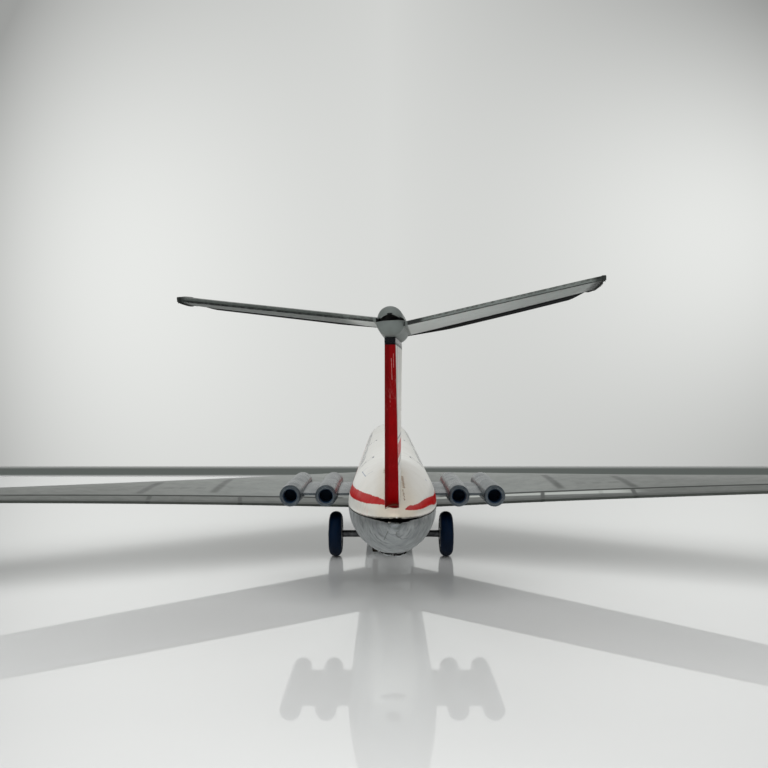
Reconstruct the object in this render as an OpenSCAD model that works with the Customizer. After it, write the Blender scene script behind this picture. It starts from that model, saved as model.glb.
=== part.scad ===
// A pressed tin toy jet airliner with a friction motor, four rear engines and a tail on top of its fin.
// Millimetres. X runs across the wings, +Y is the nose, Z = 0 is the floor that the tyres stand on.
// Lengthwise places are measured from the main axle, forward positive, and heights from the axle too.

/* [Sheet and fits] */
// Thickness of the pressed tin sheet
tin_t = 0.4; // [0.3:0.05:0.6]
// Gap between two pressings that lie against each other
seam_gap = 0.1; // [0.05:0.01:0.2]
// Radial running clearance of a shaft in its hole
run_gap = 0.05; // [0.02:0.01:0.1]
// Radial gap between a shaft and what is pressed onto it
press_gap = 0.01; // [0.005:0.005:0.02]
// Side play beside each turning piece
side_play = 0.3; // [0.2:0.05:0.6]

/* [Fuselage] */
// Outer radius of the round body
body_r = 15.5; // [14.5:0.1:17]
// Height of the body's seam above the main axle
body_rise = 25.3; // [24.5:0.1:28]
// Where the nose starts to taper, forward of the axle
nose_start = 207; // [202:1:225]
// Length of the nose taper
nose_len = 45; // [35:1:60]
// How far the seam dips at the nose tip
nose_dip = 2; // [0:0.5:4]
// Where the tail starts to taper, behind the axle
tail_start = 74.5; // [74:0.5:80]
// Length of the tail taper
tail_len = 81.5; // [76:0.5:95]
// How far the seam climbs to the tail end
tail_climb = 7; // [4:0.5:9]
// How far the two shells gape at the tail end
tail_gape = 1.6; // [0.2:0.1:1.8]
// Width of the bent tabs under the tail
tail_tab_w = 8.4; // [6:0.2:10]
// Distance of the bent tabs behind the axle
tail_tab_back = 101; // [98:0.5:106]
// Radius of the round hole in the belly under the tail
belly_hole_r = 2.5; // [1.5:0.1:3]
// Distance of that hole behind the axle
belly_hole_back = 113; // [111:0.5:118]

/* [Wing] */
// Half of the span over the wing tips
semi_span = 200; // [180:1:220]
// Chord of the wing where it meets the body's side
wing_root_chord = 97.8; // [92:0.2:102]
// Chord of the wing at its tip
wing_tip_chord = 44; // [36:0.5:52]
// Leading edge at the body's side, forward of the axle
wing_front = 91.5; // [88:0.5:96]
// Sweep of the leading edge in degrees
wing_sweep = 35.1; // [30:0.1:38]
// Rise of the wing towards its tip in degrees
wing_dihedral = 4.8; // [3:0.1:7]
// How much higher the right wing is bent than the left one, in degrees to each side
wing_tilt = 0.8; // [0:0.1:1.2]
// Nose-up setting of the wing at its root in degrees
wing_incidence = 3; // [2:0.1:4]
// Nose-up setting of the wing at its tip in degrees
wing_tip_incidence = -1; // [-2:0.1:1.5]
// Height of the trailing edge below the body's seam at the body's side
wing_drop = 12; // [11:0.1:12.5]
// Crown of the upper skin at the root
wing_crown_root = 3.4; // [2:0.1:4]
// Crown of the upper skin at the tip
wing_crown_tip = 1.3; // [0.8:0.1:2]
// Belly of the lower skin at the root
wing_belly_root = 1.2; // [0.5:0.1:1.6]
// Belly of the lower skin at the tip
wing_belly_tip = 0.5; // [0.2:0.1:1]
// Depth of the rolled rim round the wing
wing_rim = 1; // [0.9:0.05:1.4]
// Corner radius of the wing tip
wing_tip_r = 12; // [6:0.5:16]

/* [Fin] */
// Front of the fin at the body, behind the axle
fin_front = 73; // [70:0.5:80]
// Back of the fin at the body, behind the axle
fin_back = 149; // [144:0.5:150]
// Height of the fin's top above the body's seam
fin_height = 50.7; // [44:0.5:58]
// Chord of the fin at its top
fin_top_chord = 42; // [38:0.5:46]
// How far the fin's back edge leans aft at the top
fin_rake = 19; // [12:0.5:24]
// Width of the fin's flat back edge at the body
fin_te_root = 3.7; // [3:0.1:4.2]
// Width of the fin's flat back edge at its top
fin_te_top = 2.6; // [2.2:0.1:3]
// How much wider each side bulges than the back edge
fin_bulge = 0.5; // [0.2:0.1:1]
// Turn of the fin's root on the body in degrees
fin_root_skew = 1.1; // [0:0.1:3]

/* [Tailplane] */
// Half span of the tailplane
tail_semi_span = 46.6; // [40:0.2:54]
// Chord of the tailplane at the fairing
tail_root_chord = 35; // [31:0.5:36]
// Chord of the tailplane at its tip
tail_tip_chord = 15; // [10:0.5:20]
// Sweep of the tailplane's back edge in degrees
tail_sweep = 16; // [8:0.5:24]
// Rise of each half towards its tip in degrees
tail_dihedral = 7.2; // [3:0.1:10]
// Back edge of the tailplane at the centre, behind the fin's top back edge
tail_te_back = 2.5; // [0:0.5:3]
// Crown of the tailplane's upper skin
tail_crown = 1; // [0.5:0.1:1.6]
// Depth of the rolled rim round the tailplane
tail_rim = 1; // [0.9:0.05:1.3]
// Radius of the bullet fairing at its middle
bullet_r = 3.3; // [3.1:0.1:3.8]
// Radius of the ball at the fairing's back end
bullet_end_r = 3; // [2.8:0.05:3.1]
// Slit between the fairing's upper and lower half
bullet_slit = 0.6; // [0.4:0.1:0.8]
// Length of the bullet fairing
bullet_len = 46; // [42:0.5:56]
// How far the fairing reaches behind the fin's top back edge
bullet_back = 5.5; // [4:0.5:9]
// Width of the arched mouth in the back of the fairing's upper half
mouth_w = 5.6; // [4:0.1:5.8]
// Height of that mouth above the slit
mouth_h = 0.9; // [0.4:0.1:1.4]
// Height of the dark clamp strip between fin and fairing
fin_cap_h = 1.5; // [1:0.1:2]
// How far the tailplane sits to the right of the fin
tail_shift = 0.5; // [0:0.1:0.8]
// Turn of the whole tailplane on the fin in degrees
tail_skew = 3.6; // [0:0.1:5]
// Tilt of the whole tailplane to one side in degrees
tail_roll = 2.9; // [0:0.1:4]

/* [Engines] */
// Outer radius of an engine nacelle
nacelle_r = 3.95; // [3.6:0.05:4.1]
// Length of a nacelle
nacelle_len = 42.5; // [36:0.5:50]
// Intake of the nacelles, behind the axle
nacelle_front = 34.5; // [30:0.5:38]
// Distance of the inner nacelle from the middle
nacelle_x = 23.4; // [22.5:0.1:25]
// Distance between the two nacelles of a side
nacelle_pitch = 12.6; // [11.5:0.1:13]
// Height of the nacelles above the body's seam
nacelle_z = 2.4; // [2.2:0.1:3.5]
// Radius of the round opening in the tailpipe
pipe_r = 2.35; // [1.8:0.05:2.6]
// Depth of the tailpipe's opening
pipe_depth = 7; // [4:0.5:10]
// Radius of the intake's opening
intake_r = 3.1; // [2.6:0.05:3.2]
// Depth of the blind disc inside the intake
intake_depth = 3; // [2:0.5:5]
// Chord of the pylon that carries the nacelles
pylon_chord = 33.5; // [28:0.5:36]
// Distance of the pylon behind the intake
pylon_inset = 5; // [3:0.5:7]
// Thickness of the pylon
pylon_t = 2; // [1.6:0.1:2.6]

/* [Wheels] */
// Radius of the main tyres
tyre_r = 10; // [9.5:0.1:11]
// Width of the main tyres
tyre_w = 5.8; // [4.5:0.1:7]
// Distance between the middles of the main tyres
track = 49.8; // [46:0.2:54]
// Radius of the main hubs
hub_r = 6.2; // [5.5:0.1:7]
// Radius of the main axle
axle_r = 1.5; // [1.2:0.1:1.6]
// Radius of the nose tyres
nose_tyre_r = 8; // [7:0.1:9]
// Width of a nose tyre
nose_tyre_w = 3.6; // [3:0.1:4.5]
// Radius of the nose hubs
nose_hub_r = 4.8; // [4:0.1:5.4]
// Radius of the nose axle
nose_axle_r = 1; // [0.8:0.05:1.2]
// Place of the nose axle, forward of the main axle
nose_gear_y = 191.5; // [180:0.5:195]
// Width of the folded nose gear bracket
bracket_w = 8; // [6:0.2:9]
// Length of the bracket along the belly
bracket_len = 15; // [12:0.5:18]
// Sheet thickness of the bracket
bracket_t = 0.8; // [0.6:0.05:1]

/* [Friction motor] */
// Width over the motor's side plates
motor_w = 20; // [19:0.2:21]
// Thickness of a side plate
plate_t = 0.8; // [0.6:0.05:1]
// Tooth module of all gears
gear_m = 0.7; // [0.68:0.01:0.72]
// Teeth of the gear on the axle
axle_teeth = 22; // [21:1:23]
// Teeth of each pinion
pinion_teeth = 10; // [10:1:11]
// Teeth of the gear on the idler shaft
idler_teeth = 24; // [23:1:24]
// Face width of the gears
gear_w = 2.4; // [2:0.1:3]
// Radius of the idler and flywheel shafts
shaft_r = 1; // [0.8:0.05:1.1]
// Radius of the flywheel
flywheel_r = 9.8; // [9:0.1:10]
// Thickness of the flywheel
flywheel_t = 6; // [5:0.1:6.5]
// Direction from the axle to the idler shaft, degrees above forward
idler_angle = 66; // [62:0.5:70]
// Direction from the idler shaft to the flywheel, degrees above forward
flywheel_angle = 48; // [40:0.5:52]

/* [Hidden] */
$fn = 64;

function lerp(a, b, k) = a + (b - a) * k;
function turn(p, a) = [p[0] * cos(a) - p[1] * sin(a), p[0] * sin(a) + p[1] * cos(a)];
function steps(n) = [for (k = [0:n]) k / n];
function eased(n) = [for (k = [0:n]) (1 - cos(180 * k / n)) / 2];

// A bent sheet between two grids of points, its outer and its inner face. Rows run along the piece.
// A closed end is a half disc, where the sheet wraps round the end of a body.
function sheet_faces(rows, cols, close_a, close_b) =
    let (
        out = function(r, c) r * cols + c,
        inn = function(r, c) (rows + r) * cols + c,
        last = rows - 1,
        edge = cols - 1,
        rim = function(r, flip)
            flip
                ? [for (c = [0:edge - 1])
                    each [[out(r, c), inn(r, c), inn(r, c + 1)], [out(r, c), inn(r, c + 1), out(r, c + 1)]]]
                : [for (c = [0:edge - 1])
                    each [[out(r, c), inn(r, c + 1), inn(r, c)], [out(r, c), out(r, c + 1), inn(r, c + 1)]]],
        cap = function(r, flip)
            let (
                faces = concat(
                    [for (c = [1:edge - 1]) [out(r, 0), out(r, c), out(r, c + 1)]],
                    [for (c = [1:edge - 1]) [inn(r, 0), inn(r, c + 1), inn(r, c)]],
                    [[out(r, 0), out(r, edge), inn(r, edge)], [out(r, 0), inn(r, edge), inn(r, 0)]]
                )
            )
            flip ? [for (f = faces) [f[0], f[2], f[1]]] : faces
    )
    concat(
        [for (r = [0:last - 1], c = [0:edge - 1])
            each [[out(r, c), out(r, c + 1), out(r + 1, c + 1)], [out(r, c), out(r + 1, c + 1), out(r + 1, c)]]],
        [for (r = [0:last - 1], c = [0:edge - 1])
            each [[inn(r, c), inn(r + 1, c + 1), inn(r, c + 1)], [inn(r, c), inn(r + 1, c), inn(r + 1, c + 1)]]],
        [for (r = [0:last - 1])
            each [[out(r, 0), out(r + 1, 0), inn(r + 1, 0)], [out(r, 0), inn(r + 1, 0), inn(r, 0)]]],
        [for (r = [0:last - 1])
            each [[out(r, edge), inn(r + 1, edge), out(r + 1, edge)], [out(r, edge), inn(r, edge), inn(r + 1, edge)]]],
        close_a ? cap(0, true) : rim(0, true),
        close_b ? cap(last, false) : rim(last, false)
    );

module sheet(outer, inner, close_a = false, close_b = false) {
    polyhedron(
        points = concat([for (row = outer) each row], [for (row = inner) each row]),
        faces = sheet_faces(len(outer), len(outer[0]), close_a, close_b)
    );
}

// The body: a straight round barrel, a tail that tapers and climbs, and an oval nose.
axle_z = tyre_r;
seam_z = axle_z + body_rise;
belly_z = seam_z - body_r;
nose_y = nose_start + nose_len;
tail_share = 0.955;
nose_share = 0.995;
arc_cols = 16;

function tail_u(y) = max(0, (-tail_start - y) / tail_len);
function nose_v(y) = max(0, (y - nose_start) / nose_len);
function taper(y, power, ease) =
    y < -tail_start ? pow(1 - pow(tail_share * tail_u(y), power), ease)
    : y > nose_start ? pow(1 - pow(nose_share * nose_v(y), 2), 0.6)
    : 1;
function half_w(y) = body_r * taper(y, 1.6, 0.9);
function top_h(y) = body_r * taper(y, 2, 0.95);
function low_h(y) = body_r * taper(y, 1.8, 0.82);
function seam_at(y) = seam_z + tail_climb * pow(tail_u(y), 1.6) - nose_dip * pow(nose_v(y), 2);
function half_gap(y) = (seam_gap + (tail_gape - seam_gap) * pow(tail_u(y), 3)) / 2;

// A size of the body's section, drawn in by the sheet's thickness, and where that section lies.
function drawn_in(size, y, t) = y < -tail_start ? size - t : size * (body_r - t) / body_r;
function drawn_y(y, t) = y + t * (tail_u(y) - nose_v(y));

// One row across a shell, from side to side: side is 1 over the top and -1 under the belly.
function shell_row(y, side, t) =
    let (
        w = drawn_in(half_w(y), y, t),
        h = drawn_in(side > 0 ? top_h(y) : low_h(y), y, t) - half_gap(y),
        z = seam_at(y) + side * half_gap(y)
    )
    [for (k = [0:arc_cols])
        let (a = side > 0 ? 180 * k / arc_cols : 180 - 180 * k / arc_cols)
        [w * cos(a), drawn_y(y, t), z + side * h * sin(a)]];

shell_rows = concat(
    [for (k = steps(13)) -tail_start - tail_len * (1 - k)],
    [for (k = [1:4]) lerp(-tail_start, nose_start, k / 5)],
    [for (k = [0:9]) nose_start + nose_len * sin(90 * k / 9)]
);

module body_shell(side) {
    sheet([for (y = shell_rows) shell_row(y, side, 0)], [for (y = shell_rows) shell_row(y, side, tin_t)], true, true);
}

// Height of the outer skin over a point of the body, above or below the seam.
function skin_z(x, y, side) =
    seam_at(y) + side * (half_gap(y)
        + ((side > 0 ? top_h(y) : low_h(y)) - half_gap(y)) * sqrt(max(0, 1 - pow(x / half_w(y), 2))));

// The friction motor's layout, seen from the side as [forward, up] from the axle.
function pitch_r(teeth) = gear_m * teeth / 2;
idler_at = (pitch_r(axle_teeth) + pitch_r(pinion_teeth)) * [cos(idler_angle), sin(idler_angle)];
flywheel_at = idler_at
    + (pitch_r(idler_teeth) + pitch_r(pinion_teeth)) * [cos(flywheel_angle), sin(flywheel_angle)];
boss_r = 4.6;
shoulder = 3;
slot_back = -boss_r - 4;
slot_front = flywheel_at[0] + flywheel_r + 1;
slot_w = motor_w + 4 * seam_gap;
shoulder_z = seam_z - sqrt(pow(body_r - tin_t, 2) - pow(motor_w / 2, 2)) + seam_gap;
inner_x = motor_w / 2 - plate_t;

module motor_slot() {
    translate([-slot_w / 2, slot_back, 0]) cube([slot_w, slot_front - slot_back, seam_z - body_r / 2]);
}

// The nose gear's bracket hangs under the belly on two tabs that pass through slots.
bracket_tab = [3, 6];
bracket_tab_y = [for (side = [-1, 1]) nose_gear_y + side * bracket_len / 3];

module bracket_slots() {
    for (y = bracket_tab_y)
        translate([0, y, belly_z + tin_t])
            cube([bracket_tab[0] + 4 * seam_gap, bracket_t + 4 * seam_gap, 4], center = true);
}

// The bent tabs under the tail come through a slot of their own.
tab_neck = [3, 0.8];
tail_slot_z = skin_z(0, -tail_tab_back, -1);

module tail_slot() {
    translate([0, -tail_tab_back, tail_slot_z])
        cube([tab_neck[0] + 4 * seam_gap, tab_neck[1] + 4 * seam_gap, 6], center = true);
}

module fuselage_upper_shell() {
    color("ghostwhite") body_shell(1);
}

module fuselage_lower_shell() {
    color("silver")
        difference() {
            body_shell(-1);
            motor_slot();
            bracket_slots();
            tail_slot();
            translate([0, -belly_hole_back, seam_z - body_r]) cylinder(r = belly_hole_r, h = body_r / 2);
        }
}

// The two leaves of the tail's tabs lie bent against the belly, left and right of their neck.
module tail_tab() {
    leaf = function(x, k, off)
        let (
            half = 0.15 + 1.2 * sqrt(max(0, 1 - pow(2 * x / tail_tab_w, 2))),
            y = -tail_tab_back + half * (2 * k - 1)
        )
        [x, y, skin_z(x, y, -1) - off];
    color("silver") {
        sheet(
            [for (k = steps(4)) [for (c = steps(14)) leaf(tail_tab_w * (c - 0.5), k, seam_gap + tin_t)]],
            [for (k = steps(4)) [for (c = steps(14)) leaf(tail_tab_w * (c - 0.5), k, seam_gap)]]
        );
        translate([-tab_neck[0] / 2, -tail_tab_back - tab_neck[1] / 2, tail_slot_z - seam_gap - tin_t / 2])
            cube([tab_neck[0], tab_neck[1], 3]);
        translate([-tab_neck[0], -tail_tab_back - tab_neck[1] / 2, tail_slot_z + 1.4])
            cube([2 * tab_neck[0], tab_neck[1], 1.6]);
    }
}

// A wing or tail surface is two pressed skins. The upper one wraps down round the edge of the lower one.
// plan(x) gives [back edge y, front edge y, back edge z, front edge z, crown, belly] at a span place.
chord_cols = 12;
corner_lift = 0.02;
function bulge(f) = sin(180 * pow(f, 0.7));

function upper_point(plan, rim, x, f, t) =
    let (p = plan(x))
    [x, lerp(p[0] + t, p[1] - t, f), lerp(p[2], p[3], f) + rim / 2 + p[4] * bulge(1 - f) - t];
function edge_point(plan, rim, x, f, t) =
    let (p = plan(x))
    [x, lerp(p[0] + t, p[1] - t, f), lerp(p[2], p[3], f) - rim / 2];
function lower_point(plan, rim, x, f, t) =
    let (p = plan(x), side = tin_t + seam_gap)
    [x, lerp(p[0] + side, p[1] - side, f), lerp(p[2], p[3], f) - rim / 2 - p[5] * bulge(1 - f) + t];

function upper_row(plan, rim, x, t) =
    concat(
        [edge_point(plan, rim, x, 0, t)],
        [for (f = eased(chord_cols)) upper_point(plan, rim, x, f, t)],
        [edge_point(plan, rim, x, 1, t)]
    );
function tip_row(plan, rim, x, t) =
    concat(
        [edge_point(plan, rim, x, 0.002, t) + [0, 0, corner_lift]],
        [for (f = eased(chord_cols)) edge_point(plan, rim, x, 0.01 + 0.98 * f, t)],
        [edge_point(plan, rim, x, 0.998, t) + [0, 0, corner_lift]]
    );
function lower_row(plan, rim, x, t) = [for (f = eased(chord_cols)) lower_point(plan, rim, x, 1 - f, t)];

// The root of a skin ends where it meets what carries it: meet(point) gives that span place.
function to_root(point_at, x, meet) = point_at(meet(point_at(meet(point_at(x)))));

function upper_root(plan, rim, x, t, meet) =
    concat(
        [to_root(function(at) edge_point(plan, rim, at, 0, t), x, meet)],
        [for (f = eased(chord_cols)) to_root(function(at) upper_point(plan, rim, at, f, t), x, meet)],
        [to_root(function(at) edge_point(plan, rim, at, 1, t), x, meet)]
    );
function lower_root(plan, rim, x, t, meet) =
    [for (f = eased(chord_cols)) to_root(function(at) lower_point(plan, rim, at, 1 - f, t), x, meet)];

// Rows that crowd at the tip keep a little room, so that the inner face stays in order.
function row_room(spans, k) = 0.05 * (len(spans) - 1 - k);

module upper_skin(plan, rim, spans, meet) {
    tip = spans[len(spans) - 1];
    grid = function(t)
        concat(
            [upper_root(plan, rim, spans[0], t, meet)],
            [for (k = [1:len(spans) - 1]) upper_row(plan, rim, min(spans[k], tip - t - row_room(spans, k)), t)],
            [tip_row(plan, rim, tip - t, t)]
        );
    sheet(grid(0), grid(tin_t));
}

module lower_skin(plan, rim, spans, meet) {
    inside = spans[len(spans) - 1] - tin_t - seam_gap;
    grid = function(t)
        concat(
            [lower_root(plan, rim, spans[0], t, meet)],
            [for (k = [1:len(spans) - 1]) lower_row(plan, rim, min(spans[k], inside - row_room(spans, k)), t)]
        );
    sheet(grid(0), grid(tin_t));
}

// Span places: even steps to where the tip's corner starts, then round it.
function span_rows(root, tip, corner, n) =
    concat(
        [for (k = steps(n)) lerp(root, tip - corner, k)],
        [for (k = [1:4]) tip - corner + corner * sin(18 * k)],
        [tip]
    );
function corner_cut(x, tip, corner) = corner * (1 - sqrt(max(0, 1 - pow(max(0, x - tip + corner) / corner, 2))));

// side is 1 on the right and -1 on the left.
function wing_plan(x, side) =
    let (
        out = (x - body_r) / (semi_span - body_r),
        chord = lerp(wing_root_chord, wing_tip_chord, out),
        front = wing_front - (x - body_r) * tan(wing_sweep),
        z = seam_z - wing_drop + (x - body_r) * tan(wing_dihedral + side * wing_tilt),
        cut = corner_cut(x, semi_span, wing_tip_r)
    )
    [front - chord + cut / 4, front - cut, z, z + chord * sin(lerp(wing_incidence, wing_tip_incidence, out)),
        lerp(wing_crown_root, wing_crown_tip, out), lerp(wing_belly_root, wing_belly_tip, out)];
function meet_body(p) = max(
    sqrt(max(0, pow(body_r + seam_gap, 2) - pow(p[2] - seam_z, 2))),
    p[1] > slot_back - 1 && p[1] < slot_front + 1 ? slot_w / 2 + 2 * seam_gap : 0
);
wing_spans = span_rows(body_r, semi_span, wing_tip_r, 5);

module wing_upper(side) {
    upper_skin(function(x) wing_plan(x, side), wing_rim, wing_spans, function(p) meet_body(p));
}

module wing_lower(side) {
    lower_skin(function(x) wing_plan(x, side), wing_rim, wing_spans, function(p) meet_body(p));
}

module wing_right_upper_skin() {
    color("darkgray") wing_upper(1);
}

module wing_right_lower_skin() {
    color("silver") wing_lower(1);
}

module wing_left_upper_skin() {
    color("darkgray") mirror([1, 0, 0]) wing_upper(-1);
}

module wing_left_lower_skin() {
    color("silver") mirror([1, 0, 0]) wing_lower(-1);
}

// The fin: two pressed halves. The left one folds round the back as a flat strip.
fin_top_z = seam_z + fin_height;
fin_top_back = -fin_back - fin_rake;
fin_top_mid = fin_top_back + fin_top_chord / 2;
fin_root_mid = -(fin_front + fin_back) / 2;
fin_rows = 6;

function fin_half_w(te_w, f) = te_w / 2 * pow(sin(90 * min(1, 2 * f)), 0.6) + fin_bulge * sin(180 * f);
// A point of the fin: f runs from the front (0) to the back (1), level from the body (0) to the top (1).
function fin_point(side, f, level, t, front_in, back_in) =
    let (
        w_root = max(fin_half_w(fin_te_root, f) - t, seam_gap / 2) * side,
        w_top = max(fin_half_w(fin_te_top, f) - t, seam_gap / 2) * side,
        root_y = lerp((fin_back - fin_front) / 2 - front_in, (fin_front - fin_back) / 2 + back_in, f),
        top_y = lerp(fin_top_chord / 2 - front_in, -fin_top_chord / 2 + back_in, f)
    )
    fin_place([w_root, root_y], [w_top, top_y], level);
function fin_place(root, top, level) =
    let (
        r = turn(root, -fin_root_skew) + [0, fin_root_mid],
        q = turn(top, -tail_skew) + [0, fin_top_mid],
        z_root = skin_z(r[0], r[1], 1) + seam_gap
    )
    [lerp(r[0], q[0], level), lerp(r[1], q[1], level), lerp(z_root, fin_top_z, level)];
function fin_corner(side, inset, level, t) =
    fin_place(
        [side * (fin_te_root / 2 - inset), (fin_front - fin_back) / 2 + t],
        [side * (fin_te_top / 2 - inset), -fin_top_chord / 2 + t],
        level
    );
fin_steps = [for (f = eased(12)) if (f > 0 && f < 1) f];

module fin_left_half() {
    grid = function(t)
        [for (level = steps(fin_rows))
            concat(
                [fin_corner(1, 0, level, t), fin_corner(0, 0, level, t), fin_corner(-1, t, level, t)],
                [for (k = [len(fin_steps) - 1:-1:0]) fin_point(-1, fin_steps[k], level, t, 3 * t, t)],
                [fin_point(-1, 0, level, t, 3 * t, t)]
            )];
    color("firebrick") sheet(grid(0), grid(tin_t));
}

module fin_right_half() {
    back = tin_t + seam_gap;
    grid = function(t)
        [for (level = steps(fin_rows))
            [for (f = concat([0], fin_steps, [1])) fin_point(1, f, level, t, 3 * t, back)]];
    color("ghostwhite") sheet(grid(0), grid(tin_t));
}

// The tailplane and its bullet fairing, drawn about the middle of the fin's top.
mid_z = fin_cap_h + bullet_r + bullet_slit / 2;
bullet_back_y = -fin_top_chord / 2 - bullet_back;
module on_fin() {
    translate([tail_shift, fin_top_mid, fin_top_z]) rotate([0, -tail_roll, -tail_skew]) children();
}

// Outline of the fairing from its back end: a ball, a slow swell and a pointed front.
function bullet_radius(y) =
    let (k = (y - bullet_back_y) / bullet_len, ball = bullet_end_r / bullet_len)
    k < ball ? sqrt(max(0, pow(bullet_end_r, 2) - pow(bullet_end_r - (y - bullet_back_y), 2)))
    : k < 0.5 ? lerp(bullet_end_r, bullet_r, sin(90 * (k - ball) / (0.5 - ball)))
    : bullet_r * pow(1 - pow((k - 0.5) / 0.5, 2.2), 0.75);
bullet_steps = concat(
    [for (a = [0:15:75]) bullet_end_r * (1 - cos(a)) / bullet_len],
    [for (k = [0.0625:0.0625:0.9375]) k],
    [0.97, 0.99]
);

// The upper half stands open at its back end with a low arched mouth.
module bullet_mouth() {
    mouth_r = (pow(mouth_w / 2, 2) + pow(mouth_h, 2)) / (2 * mouth_h);
    translate([0, bullet_back_y + bullet_end_r - 0.5, mid_z + bullet_slit / 2 + mouth_h - mouth_r])
        rotate([90, 0, 0])
            cylinder(r = mouth_r, h = bullet_end_r);
}

module bullet_half(side) {
    skin = [for (k = bullet_steps) [bullet_radius(bullet_back_y + k * bullet_len), k * bullet_len]];
    tip = [0, bullet_len];
    inside = [for (p = skin) if (p[0] > 2 * tin_t) [p[0] - tin_t, min(max(p[1], tin_t * 1.5), bullet_len - 2)]];
    translate([0, bullet_back_y, mid_z + side * bullet_slit / 2])
        mirror([0, 0, side > 0 ? 0 : 1])
            rotate([-90, 0, 0])
                rotate([0, 0, 180])
                    rotate_extrude(angle = 180)
                        difference() {
                            polygon(concat(skin, [tip]));
                            polygon(concat([[0, tin_t * 1.5]], inside, [[0, bullet_len - 2]]));
                        }
}

function tail_plan(x) =
    let (
        out = x / tail_semi_span,
        chord = lerp(tail_root_chord, tail_tip_chord, out),
        back = -fin_top_chord / 2 - tail_te_back - x * tan(tail_sweep),
        z = mid_z + (x - bullet_r) * tan(tail_dihedral),
        cut = corner_cut(x, tail_semi_span, tail_tip_chord / 3)
    )
    [back + cut / 4, back + chord - cut, z, z, tail_crown * (1 - out / 2), 0.3 * tail_crown];
// The skins grow out of the fairing's wall, but the upper skin's edge passes the lower half outside.
function meet_upper(p) = max(bullet_radius(p[1]) + (p[2] < mid_z ? seam_gap : -tin_t / 2), tin_t);
function meet_lower(p) = max(bullet_radius(p[1]) - tin_t / 2, tin_t);
tail_spans = span_rows(bullet_r, tail_semi_span, tail_tip_chord / 3, 3);

module tailplane_upper_skin() {
    color("silver")
        on_fin() {
            difference() {
                bullet_half(1);
                bullet_mouth();
            }
            for (side = [0, 1])
                mirror([side, 0, 0])
                    upper_skin(function(x) tail_plan(x), tail_rim, tail_spans, function(p) meet_upper(p));
        }
}

module tailplane_lower_skin() {
    color("gray")
        on_fin() {
            bullet_half(-1);
            for (side = [0, 1])
                mirror([side, 0, 0])
                    lower_skin(function(x) tail_plan(x), tail_rim, tail_spans, function(p) meet_lower(p));
        }
}

// A dark strip closes the fin's top and carries the fairing.
module fin_cap() {
    side = [for (f = eased(10)) [max(fin_half_w(fin_te_top, f), 0.4), lerp(fin_top_chord / 2, -fin_top_chord / 2, f)]];
    color("midnightblue")
        translate([0, fin_top_mid, fin_top_z + seam_gap])
            rotate([0, 0, -tail_skew])
                linear_extrude(fin_cap_h - 3 * seam_gap)
                    polygon(concat(side, [for (k = [len(side) - 1:-1:0]) [-side[k][0], side[k][1]]]));
}

// The engines: two nacelles a side, pressed in an upper and a lower half together with their pylon.
engine_z = seam_z + nacelle_z;
nacelle_back_r = nacelle_r - 0.2;
lip_h = 1.25;

module along(x) {
    translate([x, -nacelle_front, engine_z]) rotate([90, 0, 0]) children();
}

module nacelle_half() {
    rotate_extrude(angle = 180)
        polygon([
            [intake_r, 0.4], [intake_r + 0.3, 0], [nacelle_r - 0.35, 0.15], [nacelle_r - 0.1, 1],
            [nacelle_r, 4], [nacelle_r, nacelle_len - 6], [nacelle_back_r, nacelle_len],
            [nacelle_back_r - tin_t, nacelle_len], [nacelle_r - tin_t, nacelle_len - 6],
            [nacelle_r - tin_t, 4], [nacelle_r - 0.1 - tin_t, 1.2], [intake_r, 1.2]
        ]);
}

// Its root follows the round body. The lower half is drawn upside down, so the body lies above it there.
module pylon_half(side) {
    edge = tin_t;
    difference() {
        translate([0, -nacelle_front - pylon_inset, engine_z])
            rotate([90, 0, 90])
                linear_extrude(nacelle_x + nacelle_pitch)
                    polygon(concat(
                        [[0, 0]],
                        [for (k = steps(12)) [-pylon_chord * k, edge + (pylon_t / 2 - edge) * bulge(k)]],
                        [[-pylon_chord, 0]]
                    ));
        for (x = [nacelle_x, nacelle_x + nacelle_pitch])
            along(x) cylinder(r = nacelle_r - tin_t / 2, h = nacelle_len);
        translate([0, 0, side > 0 ? seam_z : 2 * engine_z - seam_z])
            rotate([90, 0, 0])
                cylinder(r = body_r + seam_gap, h = tail_start);
    }
}

// One pressing of a pair of pods, the upper or the lower, on the right side.
module engine_pod(side) {
    translate([0, 0, engine_z + side * seam_gap / 2])
        mirror([0, 0, side > 0 ? 0 : 1])
            translate([0, 0, -engine_z]) {
                for (x = [nacelle_x, nacelle_x + nacelle_pitch]) along(x) nacelle_half();
                pylon_half(side);
            }
}

module tailpipe(x) {
    plug_r = nacelle_back_r - tin_t - seam_gap;
    color("dimgray")
        along(x)
            rotate_extrude()
                polygon([
                    [0, nacelle_len - pipe_depth - 1], [plug_r, nacelle_len - pipe_depth - 1],
                    [plug_r, nacelle_len + seam_gap], [nacelle_back_r, nacelle_len + seam_gap],
                    [nacelle_back_r, nacelle_len + lip_h / 2], [nacelle_back_r - 0.35, nacelle_len + lip_h - 0.15],
                    [nacelle_back_r - 0.9, nacelle_len + lip_h], [pipe_r, nacelle_len + lip_h - 0.35],
                    [pipe_r, nacelle_len + lip_h - pipe_depth], [0, nacelle_len + lip_h - pipe_depth]
                ]);
}

module intake_discs(side) {
    disc_r = nacelle_r - 0.1 - tin_t - seam_gap;
    color("dimgray")
        for (x = [nacelle_x, nacelle_x + nacelle_pitch])
            along(side * x)
                rotate_extrude()
                    polygon([
                        [0, intake_depth - 1.6], [0.5, intake_depth - 1.3], [0.9, intake_depth],
                        [disc_r, intake_depth], [disc_r, intake_depth + 0.8], [0, intake_depth + 0.8]
                    ]);
}

module engine_pod_right_upper() {
    color("darkgray") engine_pod(1);
}

module engine_pod_right_lower() {
    color("gray") engine_pod(-1);
}

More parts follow.
